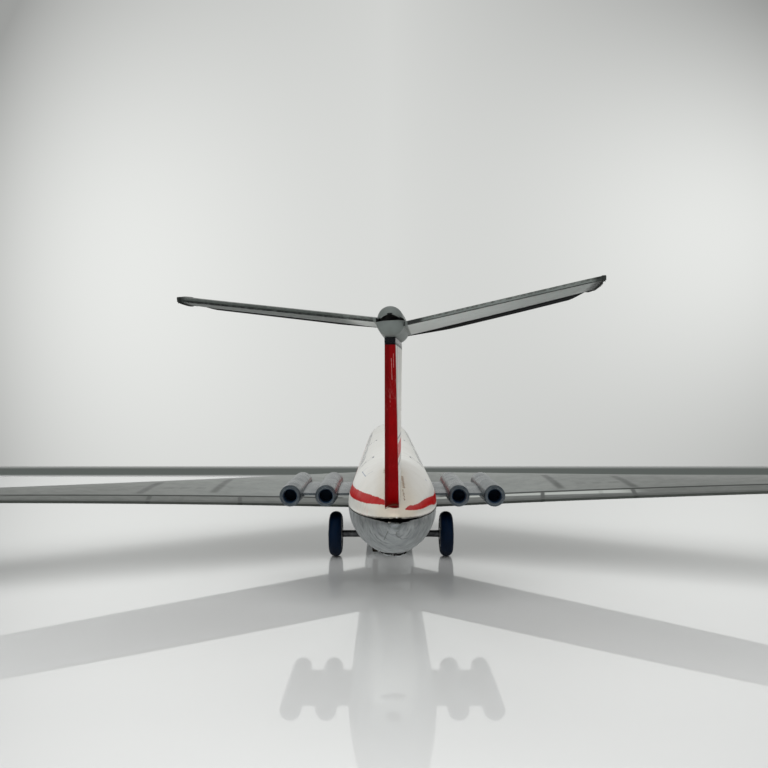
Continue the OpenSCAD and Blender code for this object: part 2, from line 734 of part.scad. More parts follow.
module engine_pod_left_upper() {
    color("darkgray") mirror([1, 0, 0]) engine_pod(1);
}

module engine_pod_left_lower() {
    color("gray") mirror([1, 0, 0]) engine_pod(-1);
}

module tailpipe_right_inner() { tailpipe(nacelle_x); }
module tailpipe_right_outer() { tailpipe(nacelle_x + nacelle_pitch); }
module tailpipe_left_inner() { tailpipe(-nacelle_x); }
module tailpipe_left_outer() { tailpipe(-nacelle_x - nacelle_pitch); }
module intake_discs_right() { intake_discs(1); }
module intake_discs_left() { intake_discs(-1); }

// Turning pieces lie across the toy: local x is forward, y is up and z runs to the right from x.
module across(x, at = [0, 0]) {
    translate([x, at[0], axle_z + at[1]]) rotate([90, 0, 90]) children();
}

// Involute gears of 20 degrees. A gear's teeth are a little short, so that they clear the small pinions.
pressure = 20;
gear_add = 0.68 * gear_m;
pinion_add = gear_m;
tooth_thin = 0.06;
tooth_root = 0.25 * gear_m;

function inv(a) = tan(a) * 180 / PI - a;
function flank(teeth, r) =
    let (rp = pitch_r(teeth), rb = rp * cos(pressure))
    90 / teeth - tooth_thin / rp * 180 / PI + inv(pressure) - inv(acos(min(1, rb / r)));
function tooth(teeth, add, ded) =
    let (
        rp = pitch_r(teeth),
        foot = max(rp * cos(pressure), rp - ded),
        radii = [for (k = steps(5)) lerp(foot, rp + add, k)]
    )
    concat(
        [[rp - ded, -flank(teeth, foot) - 0.1]],
        [for (r = radii) [r, -flank(teeth, r)]],
        [for (k = [len(radii) - 1:-1:0]) [radii[k], flank(teeth, radii[k])]],
        [[rp - ded, flank(teeth, foot) + 0.1]]
    );

module gear_shape(teeth, add, ded, phase) {
    polygon([for (n = [0:teeth - 1], p = tooth(teeth, add, ded))
        p[0] * [cos(p[1] + phase + 360 * n / teeth), sin(p[1] + phase + 360 * n / teeth)]]);
}

module wheel_gear(teeth, phase, bore) {
    difference() {
        union() {
            linear_extrude(gear_w) gear_shape(teeth, gear_add, pinion_add + tooth_root, phase);
            cylinder(r = bore + 1.5, h = gear_w + 0.6);
        }
        translate([0, 0, -1]) cylinder(r = bore, h = gear_w + 3);
        for (a = [0:72:359])
            rotate(a + phase) translate([pitch_r(teeth) * 0.58, 0, -1]) cylinder(r = gear_m * 1.9, h = gear_w + 3);
    }
}

module pinion(phase, width) {
    difference() {
        linear_extrude(width) gear_shape(pinion_teeth, pinion_add, gear_add + tooth_root, phase);
        translate([0, 0, -1]) cylinder(r = shaft_r + press_gap, h = width + 2);
    }
}

// The gears' places across the motor, from its left plate.
first_stage_x = -inner_x + 2 * side_play;
pinion_w = gear_w + 2 * side_play;
second_stage_x = first_stage_x + pinion_w + side_play;
flywheel_x = second_stage_x + pinion_w + gear_w / 2;

module axle_gear() {
    color("goldenrod")
        across(first_stage_x + side_play) wheel_gear(axle_teeth, idler_angle, axle_r + press_gap);
}

module idler_pinion() {
    color("gold")
        across(first_stage_x, idler_at) pinion(idler_angle + 180 + 180 / pinion_teeth, pinion_w);
}

module idler_gear() {
    color("goldenrod")
        across(second_stage_x + side_play, idler_at)
            wheel_gear(idler_teeth, flywheel_angle, shaft_r + press_gap);
}

module flywheel_pinion() {
    color("gold")
        across(second_stage_x, flywheel_at) pinion(flywheel_angle + 180 + 180 / pinion_teeth, pinion_w);
}

module flywheel() {
    rim = 1.2;
    color("slategray")
        across(flywheel_x, flywheel_at)
            rotate_extrude()
                polygon([
                    [shaft_r + press_gap, 0], [flywheel_r - rim / 2, 0], [flywheel_r, rim / 2],
                    [flywheel_r, flywheel_t - rim / 2], [flywheel_r - rim / 2, flywheel_t],
                    [flywheel_r * 0.7, flywheel_t], [flywheel_r * 0.65, flywheel_t - rim],
                    [shaft_r * 3, flywheel_t - rim], [shaft_r * 2.6, flywheel_t], [shaft_r + press_gap, flywheel_t]
                ]);
}

module motor_shaft(at) {
    color("lightgray") across(-motor_w / 2 - seam_gap, at) cylinder(r = shaft_r, h = motor_w + 2 * seam_gap);
}

module idler_shaft() { motor_shaft(idler_at); }
module flywheel_shaft() { motor_shaft(flywheel_at); }

// The side plates rest with their shoulders on the inside of the belly, before and behind the slot.
shoulder_h = shoulder_z - axle_z;
bar_h = 7;
pillar_r = 1.2;
rivet_r = 0.8;
pillars_at = [[slot_back - shoulder / 2 + 1, shoulder_h + bar_h / 2], [slot_front + shoulder / 2, shoulder_h + bar_h / 2]];

module plate(x) {
    color("gray")
        across(x)
            difference() {
                linear_extrude(plate_t)
                    union() {
                        hull() {
                            circle(boss_r, $fn = 48);
                            translate(idler_at) circle(boss_r, $fn = 48);
                        }
                        hull() {
                            translate(idler_at) circle(boss_r, $fn = 48);
                            translate(flywheel_at) circle(boss_r, $fn = 48);
                        }
                        translate([slot_back - shoulder, shoulder_h])
                            square([slot_front - slot_back + 2 * shoulder, bar_h]);
                    }
                translate([0, 0, -1]) cylinder(r = axle_r + run_gap, h = plate_t + 2);
                for (at = [idler_at, flywheel_at])
                    translate([at[0], at[1], -1]) cylinder(r = shaft_r + run_gap, h = plate_t + 2);
                for (at = pillars_at)
                    translate([at[0], at[1], -1]) cylinder(r = rivet_r + press_gap, h = plate_t + 2);
            }
}

module motor_plate_left() { plate(-motor_w / 2); }
module motor_plate_right() { plate(inner_x); }

module motor_pillars() {
    color("lightgray")
        for (at = pillars_at) {
            across(-inner_x, at) cylinder(r = pillar_r, h = 2 * inner_x);
            across(-motor_w / 2 - seam_gap, at) cylinder(r = rivet_r, h = motor_w + 2 * seam_gap);
        }
}

// Wheels: a dished metal hub pressed on its axle, and a soft tyre round it. z = 0 is the inner side.
module hub(r, w, bore) {
    lip = 0.3;
    dish = w / 4;
    rotate_extrude()
        polygon([
            [bore, 0], [bore + 1.4, 0], [bore + 1.4, lip + dish / 2], [r - 0.9, lip + dish / 2], [r - 0.9, lip],
            [r, lip], [r, w - lip], [r - 0.8, w - lip], [r - 1.2, w - lip - dish],
            [bore + 1.4, w - lip - dish], [bore + 0.9, w - lip], [bore, w - lip]
        ]);
}

module tyre(r, inner, w) {
    shoulder_r = w / 4;
    flat = r - shoulder_r;
    rotate_extrude()
        polygon(concat(
            [[inner, 0.3], [inner + 0.8, 0]],
            [for (a = [0:18:90]) [flat + shoulder_r * sin(a), shoulder_r * (1 - cos(a))]],
            [for (a = [90:-18:0]) [flat + shoulder_r * sin(a), w - shoulder_r * (1 - cos(a))]],
            [[inner + 0.8, w], [inner, w - 0.3]]
        ));
}

hub_x = (track - tyre_w) / 2;
nose_at = [nose_gear_y, nose_tyre_r - axle_z];
nose_hub_x = bracket_w / 2 + side_play;

module main_axle() {
    half = hub_x + tyre_w + 0.5;
    color("darkslategray") across(-half) cylinder(r = axle_r, h = 2 * half);
}

module main_hub_right() {
    color("lightgray") across(hub_x) hub(hub_r, tyre_w, axle_r + press_gap);
}

module main_hub_left() { mirror([1, 0, 0]) main_hub_right(); }

module main_tyre_right() {
    color("midnightblue") across(hub_x) tyre(tyre_r, hub_r + press_gap, tyre_w);
}

module main_tyre_left() { mirror([1, 0, 0]) main_tyre_right(); }

module nose_axle() {
    half = nose_hub_x + nose_tyre_w + 0.4;
    color("darkslategray") across(-half, nose_at) cylinder(r = nose_axle_r, h = 2 * half);
}

module nose_hub_right() {
    color("lightgray") across(nose_hub_x, nose_at) hub(nose_hub_r, nose_tyre_w, nose_axle_r + press_gap);
}

module nose_hub_left() { mirror([1, 0, 0]) nose_hub_right(); }

module nose_tyre_right() {
    color("midnightblue") across(nose_hub_x, nose_at) tyre(nose_tyre_r, nose_hub_r + press_gap, nose_tyre_w);
}

module nose_tyre_left() { mirror([1, 0, 0]) nose_tyre_right(); }

// The folded bracket of the nose wheels: a top plate on the belly, two cheeks and two bent tabs.
module nose_gear_bracket() {
    top = belly_z - seam_gap - nose_tyre_r;
    boss = nose_axle_r + 1.8;
    half = bracket_len / 2;
    color("silver")
        difference() {
            union() {
                for (x = [-bracket_w / 2, bracket_w / 2 - bracket_t])
                    across(x, nose_at)
                        linear_extrude(bracket_t) {
                            circle(boss);
                            polygon([[-half, top], [half, top], [half, top - 2], [boss, 0], [-boss, 0], [-half, top - 2]]);
                        }
                across(-bracket_w / 2, nose_at)
                    translate([-half, top - bracket_t, 0]) cube([bracket_len, bracket_t, bracket_w]);
                for (n = [0, 1]) {
                    flap_z = belly_z + tin_t + 2 * seam_gap;
                    translate([-bracket_tab[0] / 2, bracket_tab_y[n] - bracket_t / 2, belly_z - seam_gap - bracket_t])
                        cube([bracket_tab[0], bracket_t, tin_t + 3 * seam_gap + 2 * bracket_t]);
                    translate([-bracket_tab[0] / 2, bracket_tab_y[n] - (n ? bracket_t / 2 : 3 - bracket_t / 2), flap_z])
                        cube([bracket_tab[0], 3, bracket_t]);
                }
            }
            across(-bracket_w, nose_at) cylinder(r = nose_axle_r + run_gap, h = 2 * bracket_w);
        }
}

// The toy is set down so that its origin lies on the floor under the middle of its box.
function tail_aft(side, p) =
    let (x = side * p[0] * cos(tail_roll) - p[2] * sin(tail_roll))
    p[1] * cos(tail_skew) - x * sin(tail_skew);
aft_y = fin_top_mid + min([for (side = [-1, 1], x = tail_spans, p = upper_row(function(s) tail_plan(s), tail_rim, x, 0))
    tail_aft(side, p)]);
centre_y = -(nose_y + aft_y) / 2;

module set_down() {
    translate([0, centre_y, 0]) children();
}

set_down() fuselage_upper_shell();
set_down() fuselage_lower_shell();
set_down() tail_tab();
set_down() wing_left_upper_skin();
set_down() wing_left_lower_skin();
set_down() wing_right_upper_skin();
set_down() wing_right_lower_skin();
set_down() fin_left_half();
set_down() fin_right_half();
set_down() fin_cap();
set_down() tailplane_upper_skin();
set_down() tailplane_lower_skin();
set_down() engine_pod_left_upper();
set_down() engine_pod_left_lower();
set_down() engine_pod_right_upper();
set_down() engine_pod_right_lower();
set_down() tailpipe_left_inner();
set_down() tailpipe_left_outer();
set_down() tailpipe_right_inner();
set_down() tailpipe_right_outer();
set_down() intake_discs_left();
set_down() intake_discs_right();
set_down() motor_plate_left();
set_down() motor_plate_right();
set_down() motor_pillars();
set_down() nose_gear_bracket();
set_down() main_axle();
set_down() axle_gear();
set_down() main_hub_left();
set_down() main_hub_right();
set_down() main_tyre_left();
set_down() main_tyre_right();
set_down() idler_shaft();
set_down() idler_pinion();
set_down() idler_gear();
set_down() flywheel_shaft();
set_down() flywheel_pinion();
set_down() flywheel();
set_down() nose_axle();
set_down() nose_hub_left();
set_down() nose_hub_right();
set_down() nose_tyre_left();
set_down() nose_tyre_right();
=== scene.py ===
from math import copysign, cos, exp, pi, radians, sin, sqrt, tan

import bpy
from mathutils import Matrix, Vector, noise


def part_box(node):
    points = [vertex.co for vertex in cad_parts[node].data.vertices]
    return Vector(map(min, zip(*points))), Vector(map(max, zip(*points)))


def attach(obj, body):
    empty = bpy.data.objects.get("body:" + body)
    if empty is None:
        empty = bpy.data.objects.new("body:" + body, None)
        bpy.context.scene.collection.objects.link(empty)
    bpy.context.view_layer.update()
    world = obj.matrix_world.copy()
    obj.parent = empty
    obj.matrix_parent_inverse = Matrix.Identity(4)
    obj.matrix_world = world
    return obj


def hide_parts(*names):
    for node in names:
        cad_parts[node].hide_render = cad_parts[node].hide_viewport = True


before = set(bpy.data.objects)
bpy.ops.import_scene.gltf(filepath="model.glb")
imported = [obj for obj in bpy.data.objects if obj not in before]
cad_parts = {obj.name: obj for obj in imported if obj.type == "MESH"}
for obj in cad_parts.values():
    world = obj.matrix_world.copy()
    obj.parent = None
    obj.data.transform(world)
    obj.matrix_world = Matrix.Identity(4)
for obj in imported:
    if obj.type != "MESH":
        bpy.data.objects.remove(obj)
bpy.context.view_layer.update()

# Upper fuselage shell: the deep pressed tin back of the toy. It is lacquered white and printed with a red
# line, navy windows and doors, and its ragged lower edge is held to the lower shell by bent tabs.
AXLE = sum(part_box("main_axle"), Vector()) / 2
TIN = 0.4
SEAM, BODY_R = 35.3, 15.5
TAIL_START, TAIL_LEN, TAIL_END, END_ROUND = -74.5, 81.5, -156, 1.4
NOSE_START, NOSE_LEN = 207, 45


def place(x, y, z):
    """Toy millimetres, measured forward from the main axle and up from the floor, as a point in metres."""
    return Vector((x / 1000, y / 1000 + AXLE.y, z / 1000))


def lerp(a, b, k):
    return a + (b - a) * k


def steps(n, power=1):
    return [(k / n) ** power for k in range(n + 1)]


def eased(n):
    return [(1 - cos(pi * k / n)) / 2 for k in range(n + 1)]


def tail_u(y):
    return max(0, (TAIL_START - y) / TAIL_LEN)


def nose_v(y):
    return max(0, (y - NOSE_START) / NOSE_LEN)


def taper(y, power, ease):
    if y < TAIL_START:
        return (1 - (0.955 * tail_u(y)) ** power) ** ease
    return (1 - (0.995 * nose_v(y)) ** 2) ** 0.6


def seam_at(y):
    return SEAM + 7 * tail_u(y) ** 1.6 - 2 * nose_v(y) ** 2


def gap_at(y):
    return (0.24 + 1.25 * tail_u(y) ** 8) / 2


def body_sizes(y, side):
    """Half width and height of the upper (side 1) or lower (side -1) half of the body."""
    tall = taper(y, 2, 0.95) if side > 0 else taper(y, 1.8, 0.82)
    return BODY_R * taper(y, 1.6, 0.9), BODY_R * tall - gap_at(y)


def skin_z(x, y, side):
    wide, tall = body_sizes(y, side)
    return seam_at(y) + side * (gap_at(y) + tall * sqrt(max(0, 1 - (x / wide) ** 2)))


def rag(y, turn, side):
    """How far the torn rims of the tail end wander up or down."""
    edge = max(0, 1 - abs(sin(turn)) * 6) * tail_u(y) ** 2
    along = Vector((cos(turn) * BODY_R * taper(y, 1.6, 0.9) * 0.9, y * 0.5, side * 9))
    return edge * (0.12 * noise.noise(along * 1.6) + 0.34 * noise.noise(along * 3.1) + 0.2 * noise.noise(along * 8))


def shell_point(y, turn, side):
    wide, tall = body_sizes(y, side)
    end = max(0, TAIL_END + END_ROUND - y) / END_ROUND
    close = sqrt(max(0.0004, 1 - end * end))
    z = gap_at(y) + tall * sin(turn) * close
    return wide * cos(turn) * close, y, seam_at(y) + side * z + rag(y, turn, side)


shell_rows = [TAIL_END + END_ROUND * k for k in steps(8, 1.6)]
shell_rows += [lerp(TAIL_END + END_ROUND, TAIL_START, k) for k in steps(60)[1:]]
shell_rows += [lerp(TAIL_START, NOSE_START, k) for k in steps(24)[1:]]
shell_rows += [NOSE_START + NOSE_LEN * sin(pi / 2 * k) for k in steps(26)[1:]]
shell_turns = [c - 0.7 / (2 * pi) * sin(2 * pi * c) for c in steps(64)]


def shell(side):
    return [[shell_point(y, pi * c, side) for c in shell_turns] for y in shell_rows]


def grid_faces(rows, cols):
    return [(r * cols + c, r * cols + c + 1, (r + 1) * cols + c + 1, (r + 1) * cols + c)
            for r in range(rows - 1) for c in range(cols - 1)]


def show(name, data):
    """A new object of some data, in the scene."""
    made = bpy.data.objects.new(name, data)
    bpy.context.scene.collection.objects.link(made)
    return made


def solid(name, points, faces):
    """A new piece from points in metres."""
    mesh = bpy.data.meshes.new(name)
    mesh.from_pydata(points, [], faces)
    return show(name, mesh)


def pressing(name, patches, out, finish, node=None, thick=TIN, cuts=()):
    """A finished sheet of tin from grids of points in toy millimetres. It is thickened away from its outer
    side, which faces out, and the cutters are then punched through it."""
    points, faces = [], []
    for grid in patches:
        faces += [tuple(len(points) + n for n in face) for face in grid_faces(len(grid), len(grid[0]))]
        points += [place(*p) for row in grid for p in row]
    piece = solid(name, points, faces)
    if sum((f.normal * f.area for f in piece.data.polygons), Vector()).dot(Vector(out)) < 0:
        piece.data.flip_normals()
    wall = piece.modifiers.new("wall", "SOLIDIFY")
    wall.thickness, wall.offset = thick / 1000, -1
    for cutter in cuts:
        punch = piece.modifiers.new("punch", "BOOLEAN")
        punch.object, punch.solver = cutter, "EXACT"
    dress(settle(piece), finish, node)


def settle(piece, sharp=35):
    """Turns a piece and its modifiers into one plain mesh, smooth but for its real edges."""
    bpy.context.view_layer.update()
    shaped = bpy.data.meshes.new_from_object(piece.evaluated_get(bpy.context.evaluated_depsgraph_get()))
    piece.modifiers.clear()
    piece.data = shaped
    shaped.shade_smooth()
    shaped.set_sharp_from_angle(angle=radians(sharp))
    return piece


def dress(piece, finish, node=None, body="airframe"):
    """Gives a new piece its finish, the body it rides on and the CAD node that it stands for."""
    piece.data.materials.clear()
    piece.data.materials.append(finish)
    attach(piece, body)
    if node:
        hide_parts(node)


def ink(red, green, blue):
    """A printed colour, given as it is seen on a screen."""
    parts = [c / 255 for c in (red, green, blue)]
    return (*[c / 12.92 if c < 11 / 255 else ((c + 0.055) / 1.055) ** 2.4 for c in parts], 1)


class Bench:
    """What is being worked on: a node tree, and the place and the colour of a finish."""
    tree = spot = colour = None


def sum_of(how, swapped=False):
    return lambda a, b: calc(how, b, a) if swapped else calc(how, a, b)


class Value:
    """What a shader node gives out. Sums of such values become math nodes."""

    def __init__(self, socket):
        self.socket = socket

    __add__, __radd__ = sum_of("ADD"), sum_of("ADD", True)
    __sub__, __rsub__ = sum_of("SUBTRACT"), sum_of("SUBTRACT", True)
    __mul__, __rmul__ = sum_of("MULTIPLY"), sum_of("MULTIPLY", True)
    __truediv__, __pow__ = sum_of("DIVIDE"), sum_of("POWER")
    __gt__, __lt__ = sum_of("GREATER_THAN"), sum_of("LESS_THAN")

    def __abs__(self):
        return calc("ABSOLUTE", self)


def join(pairs):
    """Gives sockets their numbers, colours or Values. None leaves a socket as it is."""
    for socket, value in pairs:
        if isinstance(value, Value):
            Bench.tree.links.new(value.socket, socket)
        elif value is not None:
            socket.default_value = value


def lay(kind, *values, **settings):
    """Adds a shader node. Its values go to its inputs in order."""
    made = Bench.tree.nodes.new("ShaderNode" + kind)
    for key, value in settings.items():
        setattr(made, key, value)
    join(zip(made.inputs, values))
    return made


def put(kind, *values, out=0, **settings):
    """Adds a shader node and takes one of its outputs."""
    return Value(lay(kind, *values, **settings).outputs[out])


def calc(how, *values):
    return put("Math", *values, operation=how)


def vector(how, *values):
    return put("VectorMath", *values, operation=how, out="Value" if how in ("DOT_PRODUCT", "DISTANCE") else 0)


def split(value):
    """The three parts of a vector."""
    return [Value(part) for part in lay("SeparateXYZ", value).outputs]


def face_normal():
    return put("NewGeometry", out="Normal")


def speckle(spot, *values):
    """Noise over a place: its scale, detail and roughness."""
    return put("TexNoise", spot, None, *values)


def fit(value, low, high):
    """A value between low and high, spread softly from zero to one."""
    return put("MapRange", value, low, high, 0, 1, interpolation_type="SMOOTHSTEP")


def fit_flat(value, low, high, to_low=0, to_high=1):
    """A value between low and high, spread evenly over another range."""
    return put("MapRange", value, low, high, to_low, to_high)


def most(*masks):
    total = masks[0]
    for mask in masks[1:]:
        total = calc("MAXIMUM", total, mask)
    return total


def mix(share, under, over, how="MIX"):
    made = lay("Mix", data_type="RGBA", blend_type=how, clamp_factor=True)
    join([(made.inputs[0], share), (made.inputs[6], under), (made.inputs[7], over)])
    return Value(made.outputs[2])


def coat(share, light, dark):
    """The first colour of a finish, clouded from one ink to another."""
    Bench.colour = mix(share, ink(*light), ink(*dark))
    return share


def wash(share, *colour):
    """Lays an ink's three numbers, or a mixed colour, over the finish by a mask."""
    Bench.colour = mix(share, Bench.colour, ink(*colour) if len(colour) == 3 else colour[0])
    return share


def finish_of(name):
    """Starts a finish."""
    material = bpy.data.materials.new(name)
    material.use_nodes = True
    Bench.tree = material.node_tree
    return material


def surface(material, roughness, height=None, **others):
    """Ends a finish: roughness, relief in millimetres and what else the surface has."""
    skin = material.node_tree.nodes["Principled BSDF"].inputs
    join([(skin["Base Color"], Bench.colour), (skin["Roughness"], roughness)])
    join([(skin[label.replace("_", " ")], value) for label, value in others.items()])
    if height:
        join([(skin["Normal"], put("Bump", 1, 0.001, None, height))])


class Effect:
    """A node group that several finishes share. A call puts it into one, with values for its inputs in order,
    after the finish's place."""

    def __init__(self, name, needs_place=True, **inputs):
        self.needs_place = needs_place
        if needs_place:
            inputs = {"Place": (0, 0, 0), **inputs}
        self.tree = Bench.tree = bpy.data.node_groups.new(name, "ShaderNodeTree")
        for label, value in inputs.items():
            kind = "NodeSocketVector" if isinstance(value, tuple) else "NodeSocketFloat"
            self.tree.interface.new_socket(label, in_out="INPUT", socket_type=kind).default_value = value
        sockets = self.tree.nodes.new("NodeGroupInput").outputs
        self.inputs = [Value(socket) for socket in list(sockets)[:len(inputs)]]

    def gives(self, **outputs):
        for label, value in outputs.items():
            kind = "NodeSocketVector" if value.socket.type == "VECTOR" else "NodeSocketFloat"
            self.tree.interface.new_socket(label, in_out="OUTPUT", socket_type=kind)
        join(zip(self.tree.nodes.new("NodeGroupOutput").inputs, outputs.values()))

    def __call__(self, *values):
        placed = Bench.tree.nodes.new("ShaderNodeGroup")
        placed.node_tree = self.tree
        join(zip(placed.inputs, (Bench.spot, *values) if self.needs_place else values))
        given = [Value(socket) for socket in placed.outputs]
        return given if len(given) > 1 else given[0]


# Where a point of the toy lies, in toy millimetres.
toy_place = Effect("place on the toy", False)
spot = vector("MULTIPLY_ADD", put("TexCoord", out="Object"), (1000, 1000, 1000), (0, -AXLE.y * 1000, 0))
across, along, up = split(spot)
toy_place.gives(Place=spot, Across=across, Along=along, Up=up)


def on_toy():
    """Sets a finish's place, and says how far across, along and up the toy it is."""
    Bench.spot, *measures = toy_place()
    return measures


# A soft-edged band of a value between two others.
band = Effect("printed band", False, Value=0, Low=0, High=1, Soft=0.06)
value, low, high, soft = band.inputs
band.gives(Mask=fit((value - low) / soft, -1, 1) * fit((high - value) / soft, -1, 1))

# A stroke from one point to another: a scratch, a chip, a short printed line.
stroke = Effect("stroke", Start=(0, 0, 0), End=(0, 1, 0), Width=0.3, Ragged=0)
spot, start, end, width, ragged = stroke.inputs
to_point, whole = vector("SUBTRACT", spot, start), vector("SUBTRACT", end, start)
share = put("Clamp", vector("DOT_PRODUCT", to_point, whole) / vector("DOT_PRODUCT", whole, whole), 0, 1)
away = vector("DISTANCE", to_point, vector("SCALE", whole, None, None, share))
torn = (speckle(spot, 1.7, 3) - 0.5) * ragged
stroke.gives(Mask=fit((away + torn) / (width * 0.5), 1.25, 0.75))

# Fine scratches that run along one way, broken up into groups.
scratches = Effect("fine scratches", Stretch=(1, 1, 1), Turn=(0, 0, 0), Amount=0.5)
spot, stretch, turn, amount = scratches.inputs
laid = put("VectorRotate", spot, None, None, None, turn, rotation_type="EULER_XYZ")
lines = abs(speckle(vector("MULTIPLY", laid, stretch), 1, 2, 0.5) - 0.5)
scratches.gives(Mask=fit(lines, 0.012, 0.002) * fit(speckle(spot, 0.09, 2), 0.5, 0.66) * amount)

# Cloudy smudges of handling and age.
smudges = Effect("smudges", Size=10, Low=0.42, High=0.68)
spot, size, low, high = smudges.inputs
smudges.gives(Mask=fit_flat(speckle(vector("DIVIDE", spot, size), 1, 5, 0.62, 2.1, 0.6), low, high))

# Edges where handling has rubbed the print away, in millimetres of reach.
rubbed = Effect("rubbed edges", Reach=0.5, Amount=1)
spot, reach, amount = rubbed.inputs
bend = vector("DOT_PRODUCT", put("Bevel", reach / 1000, samples=6), face_normal())
rubbed.gives(Mask=fit(bend, 0.985, 0.86) * fit(speckle(spot, 0.35, 4, 0.6), 0.36, 0.56) * amount)

# Grime, and painted shade from ambient occlusion, that darken where pieces meet, in millimetres of reach.
grime_and_shade = Effect("painted shade and grime in corners", Reach=2, Amount=1)
spot, reach, amount = grime_and_shade.inputs
open_sky = put("AmbientOcclusion", None, reach / 1000, samples=6, out="AO")
grime_and_shade.gives(Mask=fit(open_sky, 0.85, 0.3) * fit(speckle(spot, 0.6, 4, 0.65), 0.25, 0.6) * amount)

# The uneven face of old pressed tin: long shallow dents and a fine skin.
tin_face = Effect("pressed tin face", Dents=0.1, Skin=0.006)
spot, dents, fine = tin_face.inputs
tin_face.gives(Height=speckle(spot, 0.07, 2, 0.4) * dents + speckle(spot, 1.6, 3, 0.6) * fine)
PRINT_LOW, PRINT_HIGH = 35, 50


def edge_line(along, points):
    """The height of a printed edge over the tail, from points of place along and height."""
    curve = lay("FloatCurve", 1, fit_flat(along, TAIL_END, TAIL_END + 100))
    line = curve.mapping.curves[0]
    spots = [((y - TAIL_END) / 100, (z - PRINT_LOW) / (PRINT_HIGH - PRINT_LOW)) for y, z in points]
    line.points[0].location, line.points[1].location = spots[0], spots[-1]
    for spot in spots[1:-1]:
        line.points.new(*spot)
    curve.mapping.extend = "HORIZONTAL"
    curve.mapping.update()
    return fit_flat(Value(curve.outputs[0]), 0, 1, PRINT_LOW, PRINT_HIGH)


def rounded_box(across, up, half_w, half_h, power=4):
    """A mask of a rounded oblong about zero."""
    return fit(abs(across / half_w) ** power + abs(up / half_h) ** power, 1.2, 0.8)


def strokes(*lines):
    """Strokes in one mask: each with its two ends, its width and how ragged it is."""
    return most(*[stroke(*line) for line in lines])


white_litho = finish_of("white lacquered tin")
across, along, up = on_toy()
waver = (speckle(Bench.spot, 0.5, 3) - 0.5) * 0.5
on_right = across > 0

aged = fit(along, -84, -150) * fit(up, 50, 43)
cloudy = smudges(9, 0.35, 0.75)
coat(cloudy * 0.35, (223, 223, 218), (209, 207, 197))
# Painted shade: the right side, away from the light, is darker towards the tail.
wash(on_right * fit(along, -60, -120) * 0.45, 196, 193, 186)
wash(aged * fit_flat(fit(abs(across - 0.8), 7.5, 3), 0, 1, 0.3, 0.85), 211, 200, 180)
on_left = fit(across, -5.5, -8.5)
pink_stain = smudges(4.5, 0.5, 0.7) * aged * on_left * 0.6
green_stain = smudges(3.3, 0.52, 0.66) * aged * on_left
wash(pink_stain * 0.55, 226, 150, 132)
wash(green_stain * 0.5, 142, 152, 122)

left_low, left_top, right_low, right_top = [edge_line(along, points) for points in (
    [(-150, 45), (-143.5, 44.5), (-132, 43.05), (-118.4, 41.7), (-94.8, 39.85), (-70, 38.9)],
    [(-150, 45), (-143.4, 45.6), (-131, 45.2), (-114.7, 44.1), (-92.5, 42.7), (-70, 41.6)],
    [(-149, 44), (-144.8, 43.2), (-134.6, 41.8), (-114, 39.9), (-89.2, 37.2), (-62, 38.4)],
    [(-150, 44), (-147.5, 44.3), (-135.8, 43.45), (-118.5, 42.6), (-88, 40.2), (-62, 40.9)])]
red_line = band(up + waver, left_low, left_top, 0.08) * (1 - on_right)
red_line = red_line + band(up + waver, right_low, right_top, 0.08) * on_right
red_line = red_line * fit(along, -149.5, -148.5) * fit(along, 243, 242)
wash(red_line, mix(smudges(4, 0.35, 0.8) * 0.6, ink(168, 0, 0), ink(186, 8, 8)))
wash(band(up, 37, 37.35, 0.06) * fit(along, -40, -39) * fit(along, 228, 226), 26, 38, 74)

WINDOW_PITCH = 5.6
from_window = (calc("FRACT", along / WINDOW_PITCH) - 0.5) * WINDOW_PITCH
cabin = most(band(along, -39.2, 39.2), band(along, 56, 184.8))
window = rounded_box(from_window, up - 44.9, 1.05, 1.4) * cabin
doors = []
for door_y in (-51.5, 47.6, 198):
    near, rise = along - door_y, up - 43.8
    doors.append(rounded_box(near, rise, 3.5, 5.4, 8) - rounded_box(near, rise, 3.2, 5.1, 8))
    doors.append(rounded_box(near, up - 46.2, 0.9, 1.2))
pane_turn = calc("ARCTAN2", across, up - 36)
pane = abs(calc("FRACT", pane_turn / 0.42 + 0.5) - 0.5)
cockpit = band(along, 228.5, 233.5, 0.08) * (fit(pane, 0.44, 0.41) * fit(abs(pane_turn), 1.09, 1.05))
navy_print = wash(most(window, cockpit, *doors), 22, 32, 62)
nose_cap = wash(fit(along, 243, 243.3), 150, 154, 156)

rust = strokes(((2.6, -118, 49.3), (2.7, -132, 47.4), 0.7, 1.5), ((2.4, -134, 47.2), (2.7, -143, 45.7), 0.45, 1.2),
               ((-2.3, -104, 50), (-2.6, -112, 49.3), 0.9, 2.2))
wash(rust * 0.9, 112, 76, 52)
tea = fit(abs(across), 6.5, 2) * fit(along, -92, -112) * fit(along, -150, -132)
wash(tea * (1 - red_line) * 0.34, 196, 178, 148)
pen = strokes(((-10.52, -81.3, 46.63), (-8.76, -82, 48.05), 0.42, 0.3),
              ((-6.51, -100.1, 48.82), (-8.83, -100.1, 47.11), 0.4, 0.3),
              ((-10.52, -81.3, 46.63), (-8.83, -100.1, 47.11), 0.34, 0.3),
              ((10.8, -94.4, 45.4), (11, -95.6, 45.3), 0.6, 0.2))
wash(pen * 0.8, 104, 122, 150)
wash(stroke((-2.5, -149.3, 44.3), (-0.9, -150.5, 44.9), 0.3, 0.3), 52, 44, 38)
marks = wash(scratches((1.1, 0.16, 0.9), (0.2, 0.1, 0.3), 0.1), 150, 140, 124)

